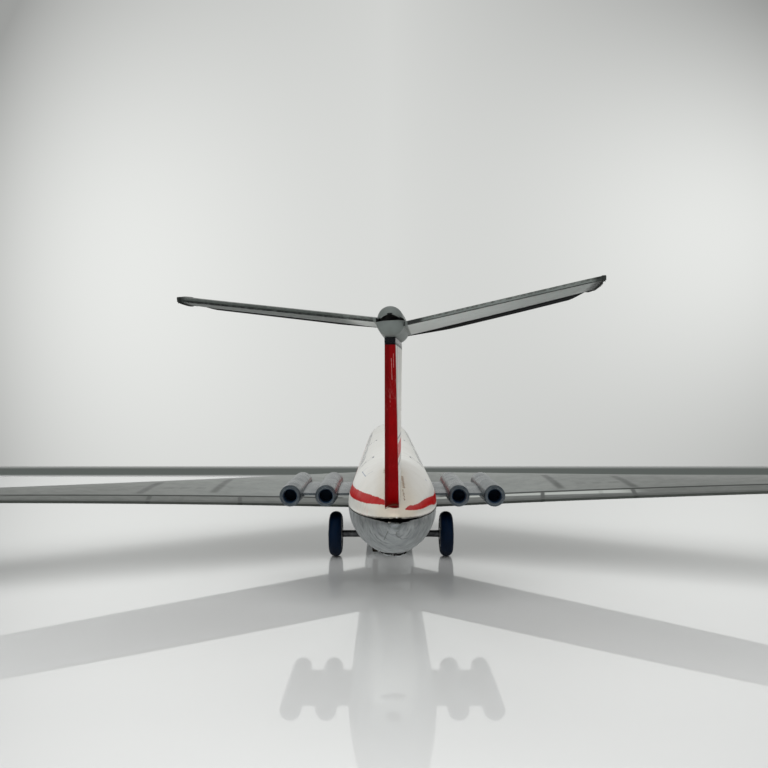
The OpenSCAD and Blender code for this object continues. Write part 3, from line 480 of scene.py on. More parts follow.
tail_here = fit_flat(along, TAIL_START, TAIL_END)
over_lip = up - (tail_here ** 1.6 * 7 + SEAM) - (tail_here ** 8 * 0.62 + 0.12) + waver * 0.8
bare_rim = fit(over_lip, 0.34, 0.16) * fit(along, -142, -151)
lip_shade = fit(over_lip, 0.42, 0.24) * fit(along, -80, -100) * fit(along, -153, -148)
wash(band(across, -2.3, 1.15, 0.1) * fit(along, -147.4, -147.9) * fit(up, 44.72, 44.84), 84, 0, 4)
off_red = 1 - red_line * 0.85
worn_away = most(bare_rim, rubbed(0.35, 0.8) * off_red)
# Grime and painted shade where pieces meet.
dirt_and_shade = grime_and_shade(1.6, 0.7) * off_red
wash(worn_away, 168, 164, 152)
wash(dirt_and_shade, 110, 98, 80)
wash(lip_shade * 0.85, 56, 48, 38)
metal = most(worn_away, nose_cap)
surface(white_litho, cloudy * 0.16 + 0.3, tin_face(0.22, 0.012) + ((red_line + navy_print) * 0.012 - marks * 0.02),
        Metallic=metal * 0.9, Coat_Weight=0.2 - most(metal, red_line) * 0.2, Coat_Roughness=0.15,
        Specular_IOR_Level=0.03)

pressing("upper_shell", [shell(1)], (0, 0, 1), white_litho, "fuselage_upper_shell")

# Lower fuselage shell: the other half of the body, bare tinplate that has been handled for decades.
# The motor's slot, the nose gear's slots and a round hole are punched through the belly.
def looks_inwards(x, z):
    """One where a face looks towards a line from which it lies x to the side and z up."""
    return vector("DOT_PRODUCT", face_normal(), put("CombineXYZ", x, 0, z)) < 0


lower_litho = finish_of("bare tinplate")
across, along, up = on_toy()
cloudy = smudges(7, 0.36, 0.68)
spangle = split(put("TexVoronoi", Bench.spot, None, 0.42, feature="F1", out="Color"))[0]
coat(cloudy * 0.65, (150, 155, 157), (114, 120, 122))
off_tail = fit(along, -125, -110)
wash(spangle * off_tail * 0.12, 216, 220, 222)
tarnish = smudges(2.8, 0.48, 0.66)
wash(tarnish * 0.6, 88, 93, 92)
marks = most(scratches((0.5, 0.3, 0.12), (0.3, 0.6, 0.2), 0.3),
             scratches((0.16, 0.5, 0.6), (0.9, 0.1, 0.8), 0.2)) * off_tail
scrape_points = (
    [(1.5, -154.4, 40.2), (0.5, -153.2, 39), (0.3, -150.8, 37.8), (2, -144.6, 35.5), (3.7, -141, 35.1)],
    [(6.9, -135.4, 39.3), (7.6, -132.2, 37.1)], [(-7.6, -131, 36), (-7.4, -126.4, 32.9)],
    [(-6.1, -135.3, 35.4), (-4.8, -133.7, 32.9)], [(-1.7, -152.1, 39), (-2.8, -141.6, 34.7)],
    [(5.2, -138.9, 36.4), (6.6, -131, 34.6), (6.9, -126, 32.6)],
)
for line in scrape_points:
    for start, end in zip(line, line[1:]):
        marks = most(marks, stroke(start, end, 0.26, 0.3) * 0.9)
wash(marks, 74, 78, 78)
# Grime and painted shade where pieces meet.
dirt_and_shade = wash(grime_and_shade(2, 0.8), 60, 58, 54)
wash(rubbed(0.35, 0.7), 220, 222, 222)
normal_up = split(face_normal())[2]
rim_shade = fit(normal_up, -0.3, -0.04) * fit(along, -112, -124)
wash(rim_shade * 0.55, 66, 70, 70)
# Painted light: the belly's downward faces behind the motor are made bright, standing in for the lit floor below.
belly = fit(normal_up, -0.75, -0.92) * fit(along, -118, -100) * fit(along, -10, -22)
wash(belly * 0.8, 244, 246, 244)
# Painted shade: the shell's inner faces at the tail end, seen through the gap, are darkened.
middle = fit_flat(along, TAIL_START, TAIL_END, SEAM - 2, 52)
wash(looks_inwards(across, up - middle) * fit(along, -125, -115), 34, 33, 30)
surface(lower_litho, most(cloudy, tarnish) * 0.22 + (dirt_and_shade * 0.3 + 0.32), tin_face(0.4, 0.001) - marks * 0.03,
        Metallic=0.85)


def oblong(name, x, y, z, radius=0.8):
    """A punch with rounded corners: x, y and z are pairs of limits. It is taken away after its cut."""
    (left, right), (back, front) = (x[0] + radius, x[1] - radius), (y[0] + radius, y[1] - radius)
    ring = []
    for cx, cy, start in ((right, front, 0), (left, front, 90), (left, back, 180), (right, back, 270)):
        ring += [(cx + radius * cos(radians(a)), cy + radius * sin(radians(a))) for a in range(start, start + 91, 15)]
    n = len(ring)
    points = [place(*p, height) for height in z for p in ring]
    sides = [(k, (k + 1) % n, n + (k + 1) % n, n + k) for k in range(n)]
    return solid(name, points, sides + [tuple(range(n))[::-1], tuple(range(n, 2 * n))])


punches = [
    oblong("motor_punch", (-10.2, 10.2), (-8.6, 23.32), (10, 27)),
    oblong("hole_punch", (-2.5, 2.5), (-115.5, -110.5), (15, 30), 2.5),
    oblong("tab_punch", (-1.7, 1.7), (-101.6, -100.4), (15, 30), 0.3),
]
for gear_y in (186.5, 196.5):
    punches.append(oblong("gear_punch", (-1.7, 1.7), (gear_y - 0.6, gear_y + 0.6), (15, 24), 0.3))
pressing("lower_shell", [shell(-1)], (0, 0, -1), lower_litho, "fuselage_lower_shell", cuts=punches)
for tool in punches:
    bpy.data.objects.remove(tool)

# Tail tabs: two leaf-shaped tongues of the shells, pushed through a slot and bent flat against the belly.
# Their rims are bright where they were sheared.
# Bare torn tin, painted near white: a painted highlight that stands for the burrs' glints.
torn_tin_painted_glint = finish_of("torn tin with painted glint")
on_toy()
coat(smudges(0.5, 0.4, 0.7), (250, 250, 244), (206, 200, 186))
surface(torn_tin_painted_glint, 0.25, Metallic=0.35)
LEAF_W, TAB_Y = 8.4, -101


def leaf(side):
    """A tongue bent out to one side. Its rear rim stands off the belly as a low arch."""
    rows = []
    for k in steps(10):
        row = []
        for c in steps(22):
            x = side * (0.15 + (LEAF_W / 2 - 0.15) * c)
            swell = sin(pi * min(1, 0.1 + 0.9 * c)) ** 0.8
            half = 0.2 + 1.5 * swell * (1 - 0.3 * c)
            y = TAB_Y - 0.5 + half * (2 * k - 1) + side * 0.15
            row.append((x, y, skin_z(x, y, -1) - 0.1 - swell * (0.28 + 0.55 * (1 - k) ** 2)))
        rows.append(row)
    return rows


pressing("tail_tabs", [leaf(-1), leaf(1)], (0, 0, -1), lower_litho, "tail_tab", thick=0.35)
neck = []
for k in steps(10):
    y, drop = TAB_Y + 0.3 * cos(pi * k), 2 * sin(pi * k)
    neck.append([(x, y, skin_z(0, TAB_Y, -1) + 1.6 - drop) for x in (-1.2, -0.4, 0.4, 1.2)])
pressing("tail_tab_neck", [neck], (0, -1, 0), lower_litho, "tail_tab", thick=0.3)

# Torn burrs: small curls of tin where the two shells' rims were forced apart at the tail, painted near white as
# glints.
for x, side, wide, tall in ((-1.35, 1, 0.75, 0.6), (2, 1, 0.85, 0.5), (0.4, 1, 0.4, 0.35), (-3.1, 1, 0.4, 0.3),
                            (4.2, 1, 0.5, 0.3), (-1.4, -1, 0.6, 0.45)):
    rim_y = next(y for y in shell_rows if body_sizes(y, side)[0] > abs(x) + 0.6) - 0.6
    rim_z = seam_at(rim_y) + side * (gap_at(rim_y) + 0.12)
    curl = [[(x + wide * (c - 0.5), rim_y - 0.45 * sin(pi * c) * k - 0.1,
              rim_z + tall * (0.75 - k) + 0.12 * cos(9 * c)) for c in steps(4)] for k in steps(4)]
    pressing("torn_burr", [curl], (0, -1, 0.6), torn_tin_painted_glint, thick=0.12)

# Wings: each a pressed upper skin whose rim wraps down round a flatter lower skin. The upper side is
# printed silver grey with a pressed flap line, panel lines and darker bars, the lower side is bare.
RIM = 1
EDGE = [(0, RIM), (0, 0.3), (0.09, 0.1), (0.3, 0)]
SEMI_SPAN, TIP_R = 200, 12
ROOT_CHORD, TIP_CHORD, ROOT_FRONT, SWEEP = 97.8, 44, 91.5, tan(radians(35.1))
FLAP_LEFT, FLAP_RIGHT = 12, 14


def corner_cut(x, tip, corner):
    return corner * (1 - sqrt(max(0, 1 - (max(0, x - tip + corner) / corner) ** 2)))


def bulge(f):
    return sin(pi * min(1, max(0, f)) ** 0.7)


def wing_plan(x, side):
    """Back and front edge, their heights, crown and belly of the wing at a span place."""
    out = (x - BODY_R) / (SEMI_SPAN - BODY_R)
    chord = lerp(ROOT_CHORD, TIP_CHORD, out)
    front = ROOT_FRONT - (x - BODY_R) * SWEEP
    z = SEAM - 12 + (x - BODY_R) * tan(radians(4.8 + side * 0.8))
    cut = corner_cut(x, SEMI_SPAN, TIP_R)
    sag = (2.6 if side < 0 else 1.3) * out + 1.4 * (1 - out) ** 3
    return (front - chord + cut / 4, front - cut, z + 3 * out * (1 - out),
            z + chord * sin(radians(lerp(3, -1, out))) - sag, lerp(3.4, 1.3, out), lerp(1.2, 0.5, out))


def flap_at(side):
    return FLAP_LEFT if side < 0 else FLAP_RIGHT


def flap_dip(x, ahead, side):
    """The pressed flap line: a narrow groove a little ahead of the back edge."""
    reach = max(0, min(1, (x - 24) / 4)) * max(0, min(1, (152 - x) / 4))
    return 0.4 * reach * exp(-((ahead - flap_at(side)) / 0.55) ** 2)


def meet_body(point):
    """The roots lie on the body's skin, and end beside the motor's slot."""
    return max(10.4, sqrt(max(0, (BODY_R + 0.1) ** 2 - (point[2] - SEAM) ** 2)))


def chord_places(back, front, groove=None):
    """Places across the chord, closer together at the edges and at the groove."""
    if groove is None:
        return [lerp(back, front, f) for f in eased(30)]
    near = back + groove
    return ([lerp(back, near - 1.5, f) for f in steps(8)] + [near + 0.25 * k for k in range(-5, 6)]
            + [lerp(near + 1.5, front, 1 - (1 - f) ** 1.5) for f in steps(34)])


def rooted(rows, line, start, meet):
    """The rows, with the first one moved on to what the skin grows out of."""
    root = []
    for n in range(len(rows[0])):
        x = start
        for _ in range(3):
            x = meet(line(x)[n])
        root.append(line(x)[n])
    return [root] + rows[1:]


def upper_skin_rows(plan, spans, tip, meet, dip=None, groove=None):
    def line(x, tip_drop=0):
        back, front, z_back, z_front, crown, _ = plan(x)
        places = [(back + inset, drop) for inset, drop in EDGE]
        places += [(y, 0) for y in chord_places(back + 0.45, front - 0.45, groove)]
        places += [(front - inset, drop) for inset, drop in EDGE[::-1]]
        row = []
        for y, drop in places:
            f = (y - back) / (front - back)
            z = lerp(z_back, z_front, f) + RIM / 2 + crown * bulge(1 - f) - (dip(x, y - back) if dip else 0)
            low = lerp(z_back, z_front, f) - RIM / 2
            row.append((x, y, max(low, z - max(drop, tip_drop)) if tip_drop < RIM else low))
        return row

    rows = rooted([line(x) for x in spans], line, spans[0], meet)
    return rows + [line(tip - inset, drop) for inset, drop in EDGE[::-1]]


def lower_skin_rows(plan, spans, tip, meet):
    def line(x):
        back, front, z_back, z_front, _, belly = plan(x)
        inset = TIN + 0.1
        return [(x, lerp(back + inset, front - inset, f), lerp(z_back, z_front, f) - RIM / 2 - belly * bulge(1 - f))
                for f in eased(30)]

    return rooted([line(x) for x in spans] + [line(tip - TIN - 0.1)], line, spans[0], meet)


def span_places(root, tip, corner, n):
    straight = [lerp(root, tip - corner, k) for k in steps(n)]
    return straight + [tip - corner + corner * sin(radians(a)) * 0.985 for a in range(10, 81, 10)]


def mirrored(rows, side):
    return [[(side * x, y, z) for x, y, z in row] for row in rows]


def about(value, middle, half_w, soft):
    return band(value, middle - half_w, middle + half_w, soft)


silver_litho = finish_of("silver-grey printed tin")
across, along, up = on_toy()
out_x = abs(across)
cloudy = smudges(26, 0.34, 0.7)
fine_cloud = smudges(5, 0.4, 0.75)
coat(cloudy, (140, 144, 141), (124, 129, 126))
wash(fine_cloud * 0.16, 104, 108, 104)
wash(fit(out_x, 45, 125) * 0.65, 92, 94, 90)
back_edge = ROOT_FRONT - ROOT_CHORD - (out_x - BODY_R) * (SWEEP - (ROOT_CHORD - TIP_CHORD) / (SEMI_SPAN - BODY_R))
ahead = along - back_edge
on_right = across > 0
flap_line = FLAP_LEFT + on_right * (FLAP_RIGHT - FLAP_LEFT)
flap_zone = fit(flap_line - ahead, -0.4, 0.4)
wash(flap_zone * 0.75, 82, 86, 82)
flap_low = fit_flat(out_x, 40, 100, 9.3, 6)
# Painted reflection: a bright strip ahead of the right wing's back edge, where the downturned skin mirrors the
# backdrop.
painted_flap_reflection = fit(out_x, 106, 92) * band(ahead, flap_low, 12.9, 0.8)
wash(painted_flap_reflection * on_right * 0.95, 190, 195, 190)
# Painted shade below the bright strip, where the skin turns down to the back edge.
painted_flap_foot_shade = fit(out_x, 106, 92) * fit(flap_low - ahead, -0.3, 0.5) * on_right
wash(painted_flap_foot_shade * 0.8, 88, 92, 90)
bars = []
for bar_x, start, end in ((77.6, 19, 58), (105.4, 16, 50)):
    bars.append(about(out_x + on_right * 3, bar_x, 1.5, 1) * band(ahead, start, end, 2.5) * 0.72)
for tick_x, strength in ((63.5, 0.95), (86, 0.2), (98, 0.95)):
    bars.append(about(out_x - ahead * 0.18, tick_x, 0.8, 0.4) * flap_zone * strength)
for dash_x in (84.5, 91, 97.5):
    bars.append(about(out_x, dash_x, 2, 0.5) * band(ahead, 27, 30.5, 0.8) * 0.3)
for line_ahead in (40, 56):
    bars.append(about(ahead, line_ahead, 0.2, 0.12) * band(out_x, 30, 176) * 0.25)
wash(most(*bars), 44, 48, 46)
wash(band(along, 24, 60, 0.2) * band(out_x, 26, 26.4, 0.1) * 0.5, 60, 64, 62)
marks = wash(scratches((0.1, 0.5, 0.4), (0, 0, 0.5), 0.2), 170, 174, 174)
groove = band(ahead - flap_line, -1.5, 1.5, 0.8) * band(out_x, 22, 154, 1)
rim_dark = fit(ahead, 4.2, 2.6)
worn = rubbed(0.4, 0.6) * (1 - most(groove, rim_dark))
# Grime and painted shade where pieces meet.
dirt_and_shade = wash(grime_and_shade(1.8, 0.85), 44, 44, 42)
wash(worn * 0.7, 176, 180, 178)
# Painted shade along the downturned rim of the back edge.
wash(rim_dark * 0.72, 54, 58, 54)
wash(groove * 0.8, 40, 43, 41)
surface(silver_litho, fine_cloud * 0.08 + (dirt_and_shade * 0.3 + 0.38), tin_face(0.3, 0.006) - marks * 0.02,
        Metallic=0.3, Specular_IOR_Level=0.35)

under_tin = finish_of("dull tin of the wings' undersides with painted shade")
across = on_toy()[0]
cloudy = smudges(14, 0.34, 0.7)
tarnish = smudges(4, 0.5, 0.7)
# Dark tin that also stands in for the undersides' own shade; the left wing's outer part is painted lighter, as light
# falls from the left.
coat(cloudy, (70, 74, 76), (48, 51, 52))
wash(fit(across, -50, -130) * 0.6, 150, 154, 155)
wash(tarnish * 0.5, 48, 48, 46)
marks = wash(scratches((0.12, 0.6, 0.5), (0, 0, 0.4), 0.6), 150, 154, 156)
worn = rubbed(0.4, 0.8)
wash(worn * 0.6, 160, 164, 166)
# Grime and painted shade where pieces meet.
wash(grime_and_shade(2, 0.9), 30, 30, 28)
surface(under_tin, most(cloudy, tarnish) * 0.2 + 0.34, tin_face(0.3, 0.012) - marks * 0.03, Metallic=0.75)

wing_spans = span_places(BODY_R, SEMI_SPAN, TIP_R, 34)
for side, word in ((-1, "left"), (1, "right")):
    rows = upper_skin_rows(lambda x: wing_plan(x, side), wing_spans, SEMI_SPAN, meet_body,
                           lambda x, ahead: flap_dip(x, ahead, side), flap_at(side))
    pressing(f"wing_{word}_top", [mirrored(rows, side)], (0, 0, 1), silver_litho,
             f"wing_{word}_upper_skin")
    rows = lower_skin_rows(lambda x: wing_plan(x, side), wing_spans, SEMI_SPAN, meet_body)
    pressing(f"wing_{word}_underside", [mirrored(rows, side)], (0, 0, -1), under_tin,
             f"wing_{word}_lower_skin")

# Fin: two pressed halves, lacquered white. The left one folds round the back as a flat red strip, and
# its root follows the body. The paint of the strip is finely scratched at the top.
FIN_FRONT, FIN_BACK, FIN_FOOT, FIN_TOP, TOP_CHORD, TOP_BACK = -73, -149, 44.8, 86, 42, -168
FOOT_CHORD, FOOT_STRIP, TOP_STRIP = FIN_FRONT - FIN_BACK, 3.7, 2.6
ROOT_MID, TOP_MID = (FIN_FRONT + FIN_BACK) / 2, TOP_BACK + TOP_CHORD / 2
ROOT_SKEW, TAIL_SKEW = radians(1.1), radians(3.6)


def turned(x, y, angle):
    return x * cos(angle) + y * sin(angle), y * cos(angle) - x * sin(angle)


def fin_place(root, top, level):
    rx, ry = turned(*root, ROOT_SKEW)
    tx, ty = turned(*top, TAIL_SKEW)
    ry, ty = ry + ROOT_MID, ty + TOP_MID
    foot = skin_z(rx, ry, 1) + 0.05
    return lerp(rx, tx, level), lerp(ry, ty, level), lerp(foot, FIN_TOP, level)


def fin_half_w(strip, f):
    return strip / 2 * sin(pi / 2 * min(1, 2 * f)) ** 0.6 + 0.5 * sin(pi * f)


def fin_side(side, f, level, inset=0):
    root = (side * fin_half_w(FOOT_STRIP, f), lerp(FOOT_CHORD / 2, -FOOT_CHORD / 2 + inset, f))
    top = (side * fin_half_w(TOP_STRIP, f), lerp(TOP_CHORD / 2, -TOP_CHORD / 2 + inset, f))
    return fin_place(root, top, level)


def fin_strip(t, back, level):
    """A point of the flat back strip: t runs from the right edge (1) to the left edge (-1)."""
    return fin_place((t * FOOT_STRIP / 2, -FOOT_CHORD / 2 + back), (t * TOP_STRIP / 2, -TOP_CHORD / 2 + back), level)


STRIP = [(1, 1.3), (1, 0.36), (0.95, 0.12), (0.84, 0), (0.5, -0.05), (0, -0.07), (-0.5, -0.05), (-0.84, 0),
         (-0.95, 0.12), (-1, 0.36)]
fin_steps = [f for f in eased(28) if 0 < f < 0.985]
left_rows = []
for level in steps(36):
    row = [fin_strip(t, back, level) for t, back in STRIP]
    row += [fin_side(-1, f, level) for f in fin_steps[::-1]] + [fin_side(-1, 0, level)]
    left_rows.append(row)
right_rows = [[fin_side(1, f, level, 0.5) for f in [0] + fin_steps + [1]] for level in steps(36)]

fin_litho = finish_of("fin lacquer")
across, along, up = on_toy()
rise = fit_flat(up, FIN_FOOT, FIN_TOP)
from_back = along - fit_flat(rise, 0, 1, FIN_BACK, TOP_BACK)
cloudy = smudges(8, 0.35, 0.72)
coat(cloudy * 0.5, (228, 226, 220), (208, 204, 196))
# Painted shade on the fin's right face near the back edge, towards the top.
painted_right_face_shade = fit(from_back - rise * 7, 1.5, -1.5) * fit(rise, 0.35, 0.6)
wash(painted_right_face_shade * (across > 0.5) * 0.55, 150, 150, 148)
wash(band(up, 57.5, 61.5, 0.1), 190, 32, 34)
for line_up in (55.9, 62.7):
    wash(band(up, line_up, line_up + 0.35, 0.08), 26, 38, 74)
wash(band(from_back, 12.4, 12.75, 0.08) * 0.8, 120, 122, 124)
edge_waver = (speckle(Bench.spot, 0.8, 2) - 0.5) * 0.5
red_back = fit(from_back + edge_waver, 0.85, 0.75)
red_print = mix(smudges(6, 0.3, 0.8), ink(130, 0, 4), ink(152, 0, 6))
red_print = mix(fit(abs(across - fit_flat(rise, 0, 1, -0.4, 0)), 1, 1.75) * 0.55, red_print, ink(84, 0, 4))
wash(red_back, red_print)
wash(most(fit(up, 85.7, 85.85) * fit(from_back, 1, 0.8), fit(up, 85.6, 85.7)), 10, 12, 20)
marks = scratches((1.6, 1, 0.16), (0, 0.06, 0), 0.9)
fine_marks = []
for x0, z0, x1, z1, wide in ((-1, 82.5, -0.8, 77.5, 0.12), (-0.5, 83.6, -0.45, 80.4, 0.1),
                             (0.1, 80.8, 0, 77, 0.08), (-1.3, 74, -1.2, 70.2, 0.08),
                             (0.3, 62, 0.25, 57.5, 0.08), (-0.6, 67, -0.5, 63.5, 0.07)):
    back_0, back_1 = (lerp(FIN_BACK, TOP_BACK, (z - FIN_FOOT) / (FIN_TOP - FIN_FOOT)) for z in (z0, z1))
    fine_marks.append(stroke((x0, back_0, z0), (x1, back_1, z1), wide, 0.12))
marks = most(marks * red_back * 0.5, *fine_marks)
wash(marks * 0.75, 206, 150, 146)
worn = rubbed(0.3, 0.5)
wash(worn * (1 - red_back), 160, 156, 150)
wash(worn * red_back * 0.8, 58, 14, 16)
# Grime and painted shade where pieces meet.
dirt_and_shade = wash(grime_and_shade(1.4, 0.8), 74, 56, 44)
surface(fin_litho, cloudy * 0.14 + 0.26, tin_face(0.25, 0.01) - marks * 0.02, Specular_IOR_Level=0.06)

pressing("fin_left", [left_rows], (-1, 0, 0), fin_litho, "fin_left_half", thick=0.35)
pressing("fin_right", [right_rows], (1, 0, 0), fin_litho, "fin_right_half", thick=0.35)

# Fin cap: the dark blue strip that closes the fin's top and carries the tailplane.
navy_litho = finish_of("navy lacquer")
on_toy()
worn = rubbed(0.25, 0.9)
cloudy = coat(smudges(2, 0.4, 0.7), (2, 4, 12), (8, 11, 21))
wash(worn * 0.15, 90, 94, 104)
surface(navy_litho, cloudy * 0.2 + 0.2, tin_face(0.2, 0.02), Coat_Weight=0.05, Specular_IOR_Level=0.15)


def refinish(material, *nodes):
    """Gives CAD pieces whose shape is right their real finish."""
    for name in nodes:
        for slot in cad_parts[name].material_slots:
            slot.material = material


refinish(navy_litho, "fin_cap")

# Tailplane: an upper and a lower pressing, each with its half of the bullet-shaped fairing in the middle.
# Both are satin grey and dark along their rolled rims, with a painted shadow under the front hem and painted shade
# inside the fairing, and the upper half gapes with a low mouth at its back.
CAP_H, BULLET_R, BALL_R, SLIT, BULLET_LEN = 1.5, 3.3, 3, 0.6, 46
BULLET_BACK = -TOP_CHORD / 2 - 5.5
MID_Z = CAP_H + BULLET_R + SLIT / 2
TAIL_SEMI, TAIL_ROOT_CHORD, TAIL_TIP_CHORD = 46.6, 35, 15
TAIL_BACK, TAIL_SWEEP = TOP_CHORD / 2 + 2.5, tan(radians(16))
LEFT_LIFT, RIGHT_LIFT = 0.2, -1
LEFT_SLOPE, RIGHT_SLOPE = tan(radians(7.85)), tan(radians(8.3))
on_fin = (Matrix.Translation((0.5, TOP_MID, FIN_TOP)) @ Matrix.Rotation(radians(-3.6), 4, "Z")
          @ Matrix.Rotation(radians(-2.9), 4, "Y"))


def seated(rows):
    return [[tuple(on_fin @ Vector(p)) for p in row] for row in rows]


def bullet_radius(y):
    k, ball = (y - BULLET_BACK) / BULLET_LEN, BALL_R / BULLET_LEN
    if k < ball:
        return sqrt(max(0, BALL_R ** 2 - (BALL_R - k * BULLET_LEN) ** 2))
    if k < 0.5:
        return lerp(BALL_R, BULLET_R, sin(pi / 2 * (k - ball) / (0.5 - ball)))
    return BULLET_R * (1 - min(1, (k - 0.5) / 0.5) ** 2.2) ** 0.75


def bullet_point(y, turn, side):
    r = bullet_radius(y)
    x, z = r * cos(turn), SLIT / 2 + r * sin(turn)
    if side > 0 and y < BULLET_BACK + 2.6:
        arch = SLIT / 2 + 1.15 * (1 - (x / 2.75) ** 2)
        fade = min(1, (BULLET_BACK + 2.6 - y) / 0.5)
        z = max(z, lerp(z, arch, fade))
    if side < 0 and y < BULLET_BACK + 1.5:
        z = max(z, SLIT / 2)
    return x, y, MID_Z + side * z


bullet_rows = [BULLET_BACK + BALL_R * (1 - cos(radians(a))) for a in range(1, 84, 5)]
bullet_rows += [lerp(BULLET_BACK + 2.9, BULLET_BACK + BULLET_LEN, f) for f in steps(40)]


def tail_plan(x, side):
    out = x / TAIL_SEMI
    chord = lerp(TAIL_ROOT_CHORD, TAIL_TIP_CHORD, out)
    back = -TAIL_BACK - x * TAIL_SWEEP
    lift, slope, twist = LEFT_LIFT, LEFT_SLOPE, lerp(2.3, 2.6, out)
    if side > 0:
        lift, slope, twist = RIGHT_LIFT, RIGHT_SLOPE, lerp(0.5, -1.7, out)
    z = MID_Z + lift + (x - BULLET_R) * slope
    cut = corner_cut(x, tail_tip(side), 5)
    return back + cut / 4, back + chord - cut, z, z + chord * sin(radians(twist)), 1 - out / 2, 0.3


def tail_tip(side):
    return TAIL_SEMI if side > 0 else TAIL_SEMI - 0.8


def meet_half(side):
    """Each skin grows out of its own half of the fairing, and passes the other half outside."""
    return lambda p: max(bullet_radius(p[1]) + (-0.2 if side * (p[2] - MID_Z) > SLIT / 2 else 0.1), TIN)


tail_litho = finish_of("satin grey tin of the tail")
on_toy()
cloudy = smudges(8, 0.36, 0.68)
fine_cloud = smudges(1.6, 0.45, 0.7)
flat = vector("ADD", Bench.spot, tuple(-v for v in on_fin.translation))
tail_x, tail_y, tail_z = [vector("DOT_PRODUCT", flat, tuple(row)) for row in on_fin.to_3x3().inverted()]
out_x = abs(tail_x)
from_back = tail_y + TAIL_BACK + out_x * TAIL_SWEEP
from_front = fit_flat(out_x, 0, TAIL_SEMI, TAIL_ROOT_CHORD, TAIL_TIP_CHORD) - from_back
on_right = tail_x > 0
slope = LEFT_SLOPE + on_right * (RIGHT_SLOPE - LEFT_SLOPE)
over_mid = tail_z - (MID_Z + LEFT_LIFT + on_right * (RIGHT_LIFT - LEFT_LIFT) + (out_x - BULLET_R) * slope)
beyond = fit(out_x, BULLET_R + 0.4, BULLET_R + 0.8)
coat(cloudy, (142, 148, 145), (120, 127, 124))
wash(fine_cloud * 0.25, 104, 108, 102)
faces_down = fit(split(face_normal())[2], -0.5, -0.8)
pale_root = most(fit(out_x, 12, 7) * 0.85, on_right * fit_flat(fit(out_x, 40, 10), 0, 1, 0.35, 0.95))
wash(faces_down * beyond * pale_root, 214, 218, 216)
seam_noise = speckle(Bench.spot, 1.3, 4, 0.7)
wander = (seam_noise - 0.5) * 0.5
rim = fit(from_back, 0.62, 0.5)
seam_dark = band(over_mid + wander + on_right * 0.3, -0.58, 0, 0.14)
seam_dark = seam_dark * rim * beyond * fit_flat(fit(seam_noise, 0.3, 0.62), 0, 1, 0.55, 1)
wash(rim * beyond * fit(over_mid, -0.1, 0.1) * fit(seam_noise, 0.35, 0.62) * 0.75, 76, 79, 75)
line_w = 1.6 + on_right * fit(out_x, 5, 16) * 2.6
line_w = line_w * fit_flat(most(on_right, fit(out_x, 6, 14)), 0, 1, 0.1, 1)
# Painted shadow of the rolled front hem along the underside's front edge.
painted_hem_shadow = fit(from_front + (seam_noise - 0.5) * 1.6 - line_w, 0.3, -0.3) * beyond
# Painted shade on the fairing's inner faces, seen through its mouth.
painted_inside_shade = looks_inwards(tail_x, tail_z - MID_Z) * (out_x < BULLET_R)
root_slot = band(over_mid, -0.5, 0.5, 0.15) * rim * beyond * on_right * fit(out_x, 8.2, 6.6)
tip_dark = fit(out_x + wander * 2, TAIL_SEMI - 3, TAIL_SEMI - 1.6)
marks = wash(scratches((0.12, 0.6, 0.6), (0, 0.1, 0.2), 0.35), 88, 92, 88)
rim_dark = rubbed(0.4, 1) * beyond * 0.5
# Grime and painted shade where pieces meet.
dirt_and_shade = grime_and_shade(1.2, 0.9)
on_left = (1 - on_right) * fit(out_x, 8, 14)
wash(on_left * 0.7, 80, 85, 82)
wash((1 - beyond) * 0.6, 118, 124, 122)
wash(most(rim_dark, most(root_slot, seam_dark, tip_dark * 0.85, painted_hem_shadow) * 0.92), 20, 22, 22)
wash(dirt_and_shade, 26, 28, 28)
wash(most(painted_inside_shade, painted_hem_shadow * 0.9), 3, 5, 8)
surface(tail_litho, fine_cloud * 0.12 + (dirt_and_shade * 0.3 + 0.42), tin_face(0.35, 0.012) - marks * 0.02,
        Metallic=0.6 - most(painted_inside_shade, painted_hem_shadow, root_slot) * 0.6, Specular_IOR_Level=0.2)

HEM = [(0, 0.1), (0.1, 0.34), (0.45, 0.38), (0.7, 0.1)]


def with_hem(rows, side):
    """Adds the rolled hem under a skin's front edge. It is heavier on the right."""
    hemmed = []
    for row in rows:
        x, y, z = row[-1]
        size = max(0, min(1, x / 14, (TAIL_SEMI - 1.6 - x) / 3)) * (2.4 if side > 0 else 1.4)
        hemmed.append(row + [(x, y - inset * size, z - drop * size) for inset, drop in HEM])
    return hemmed


for half, word, node in ((1, "top", "tailplane_upper_skin"), (-1, "underside", "tailplane_lower_skin")):
    patches = [seated([[bullet_point(y, pi * c, half) for c in steps(36)] for y in bullet_rows])]
    for side in (-1, 1):
        make = upper_skin_rows if half > 0 else lower_skin_rows
        tail_spans = span_places(BULLET_R, tail_tip(side), 5, 20)
        rows = make(lambda x: tail_plan(x, side), tail_spans, tail_tip(side), meet_half(half))
        rows = seated(mirrored(with_hem(rows, side) if half > 0 else rows, side))
        patches.append(rows if side == half else [row[::-1] for row in rows])
    pressing(f"tailplane_{word}", patches, (0, 0, half), tail_litho, node, thick=0.35)

# Engines: two tubes a side, pressed in halves with the pylon that carries them, and silver grey like the
# wings. A turned tailpipe with a bright rolled lip closes each back end, and a blind disc each intake.
pod_litho = finish_of("satin silver print of the engines")
across, along, up = on_toy()
cloudy = coat(smudges(7, 0.36, 0.7), (94, 101, 105), (76, 83, 87))
for ring in (-66.5, -40, -27.5):
    wash(band(along, ring, ring + 0.3, 0.08) * 0.7, 48, 54, 60)
marks = wash(scratches((0.8, 0.12, 0.8), (0, 0, 0.1), 0.05), 140, 146, 150)
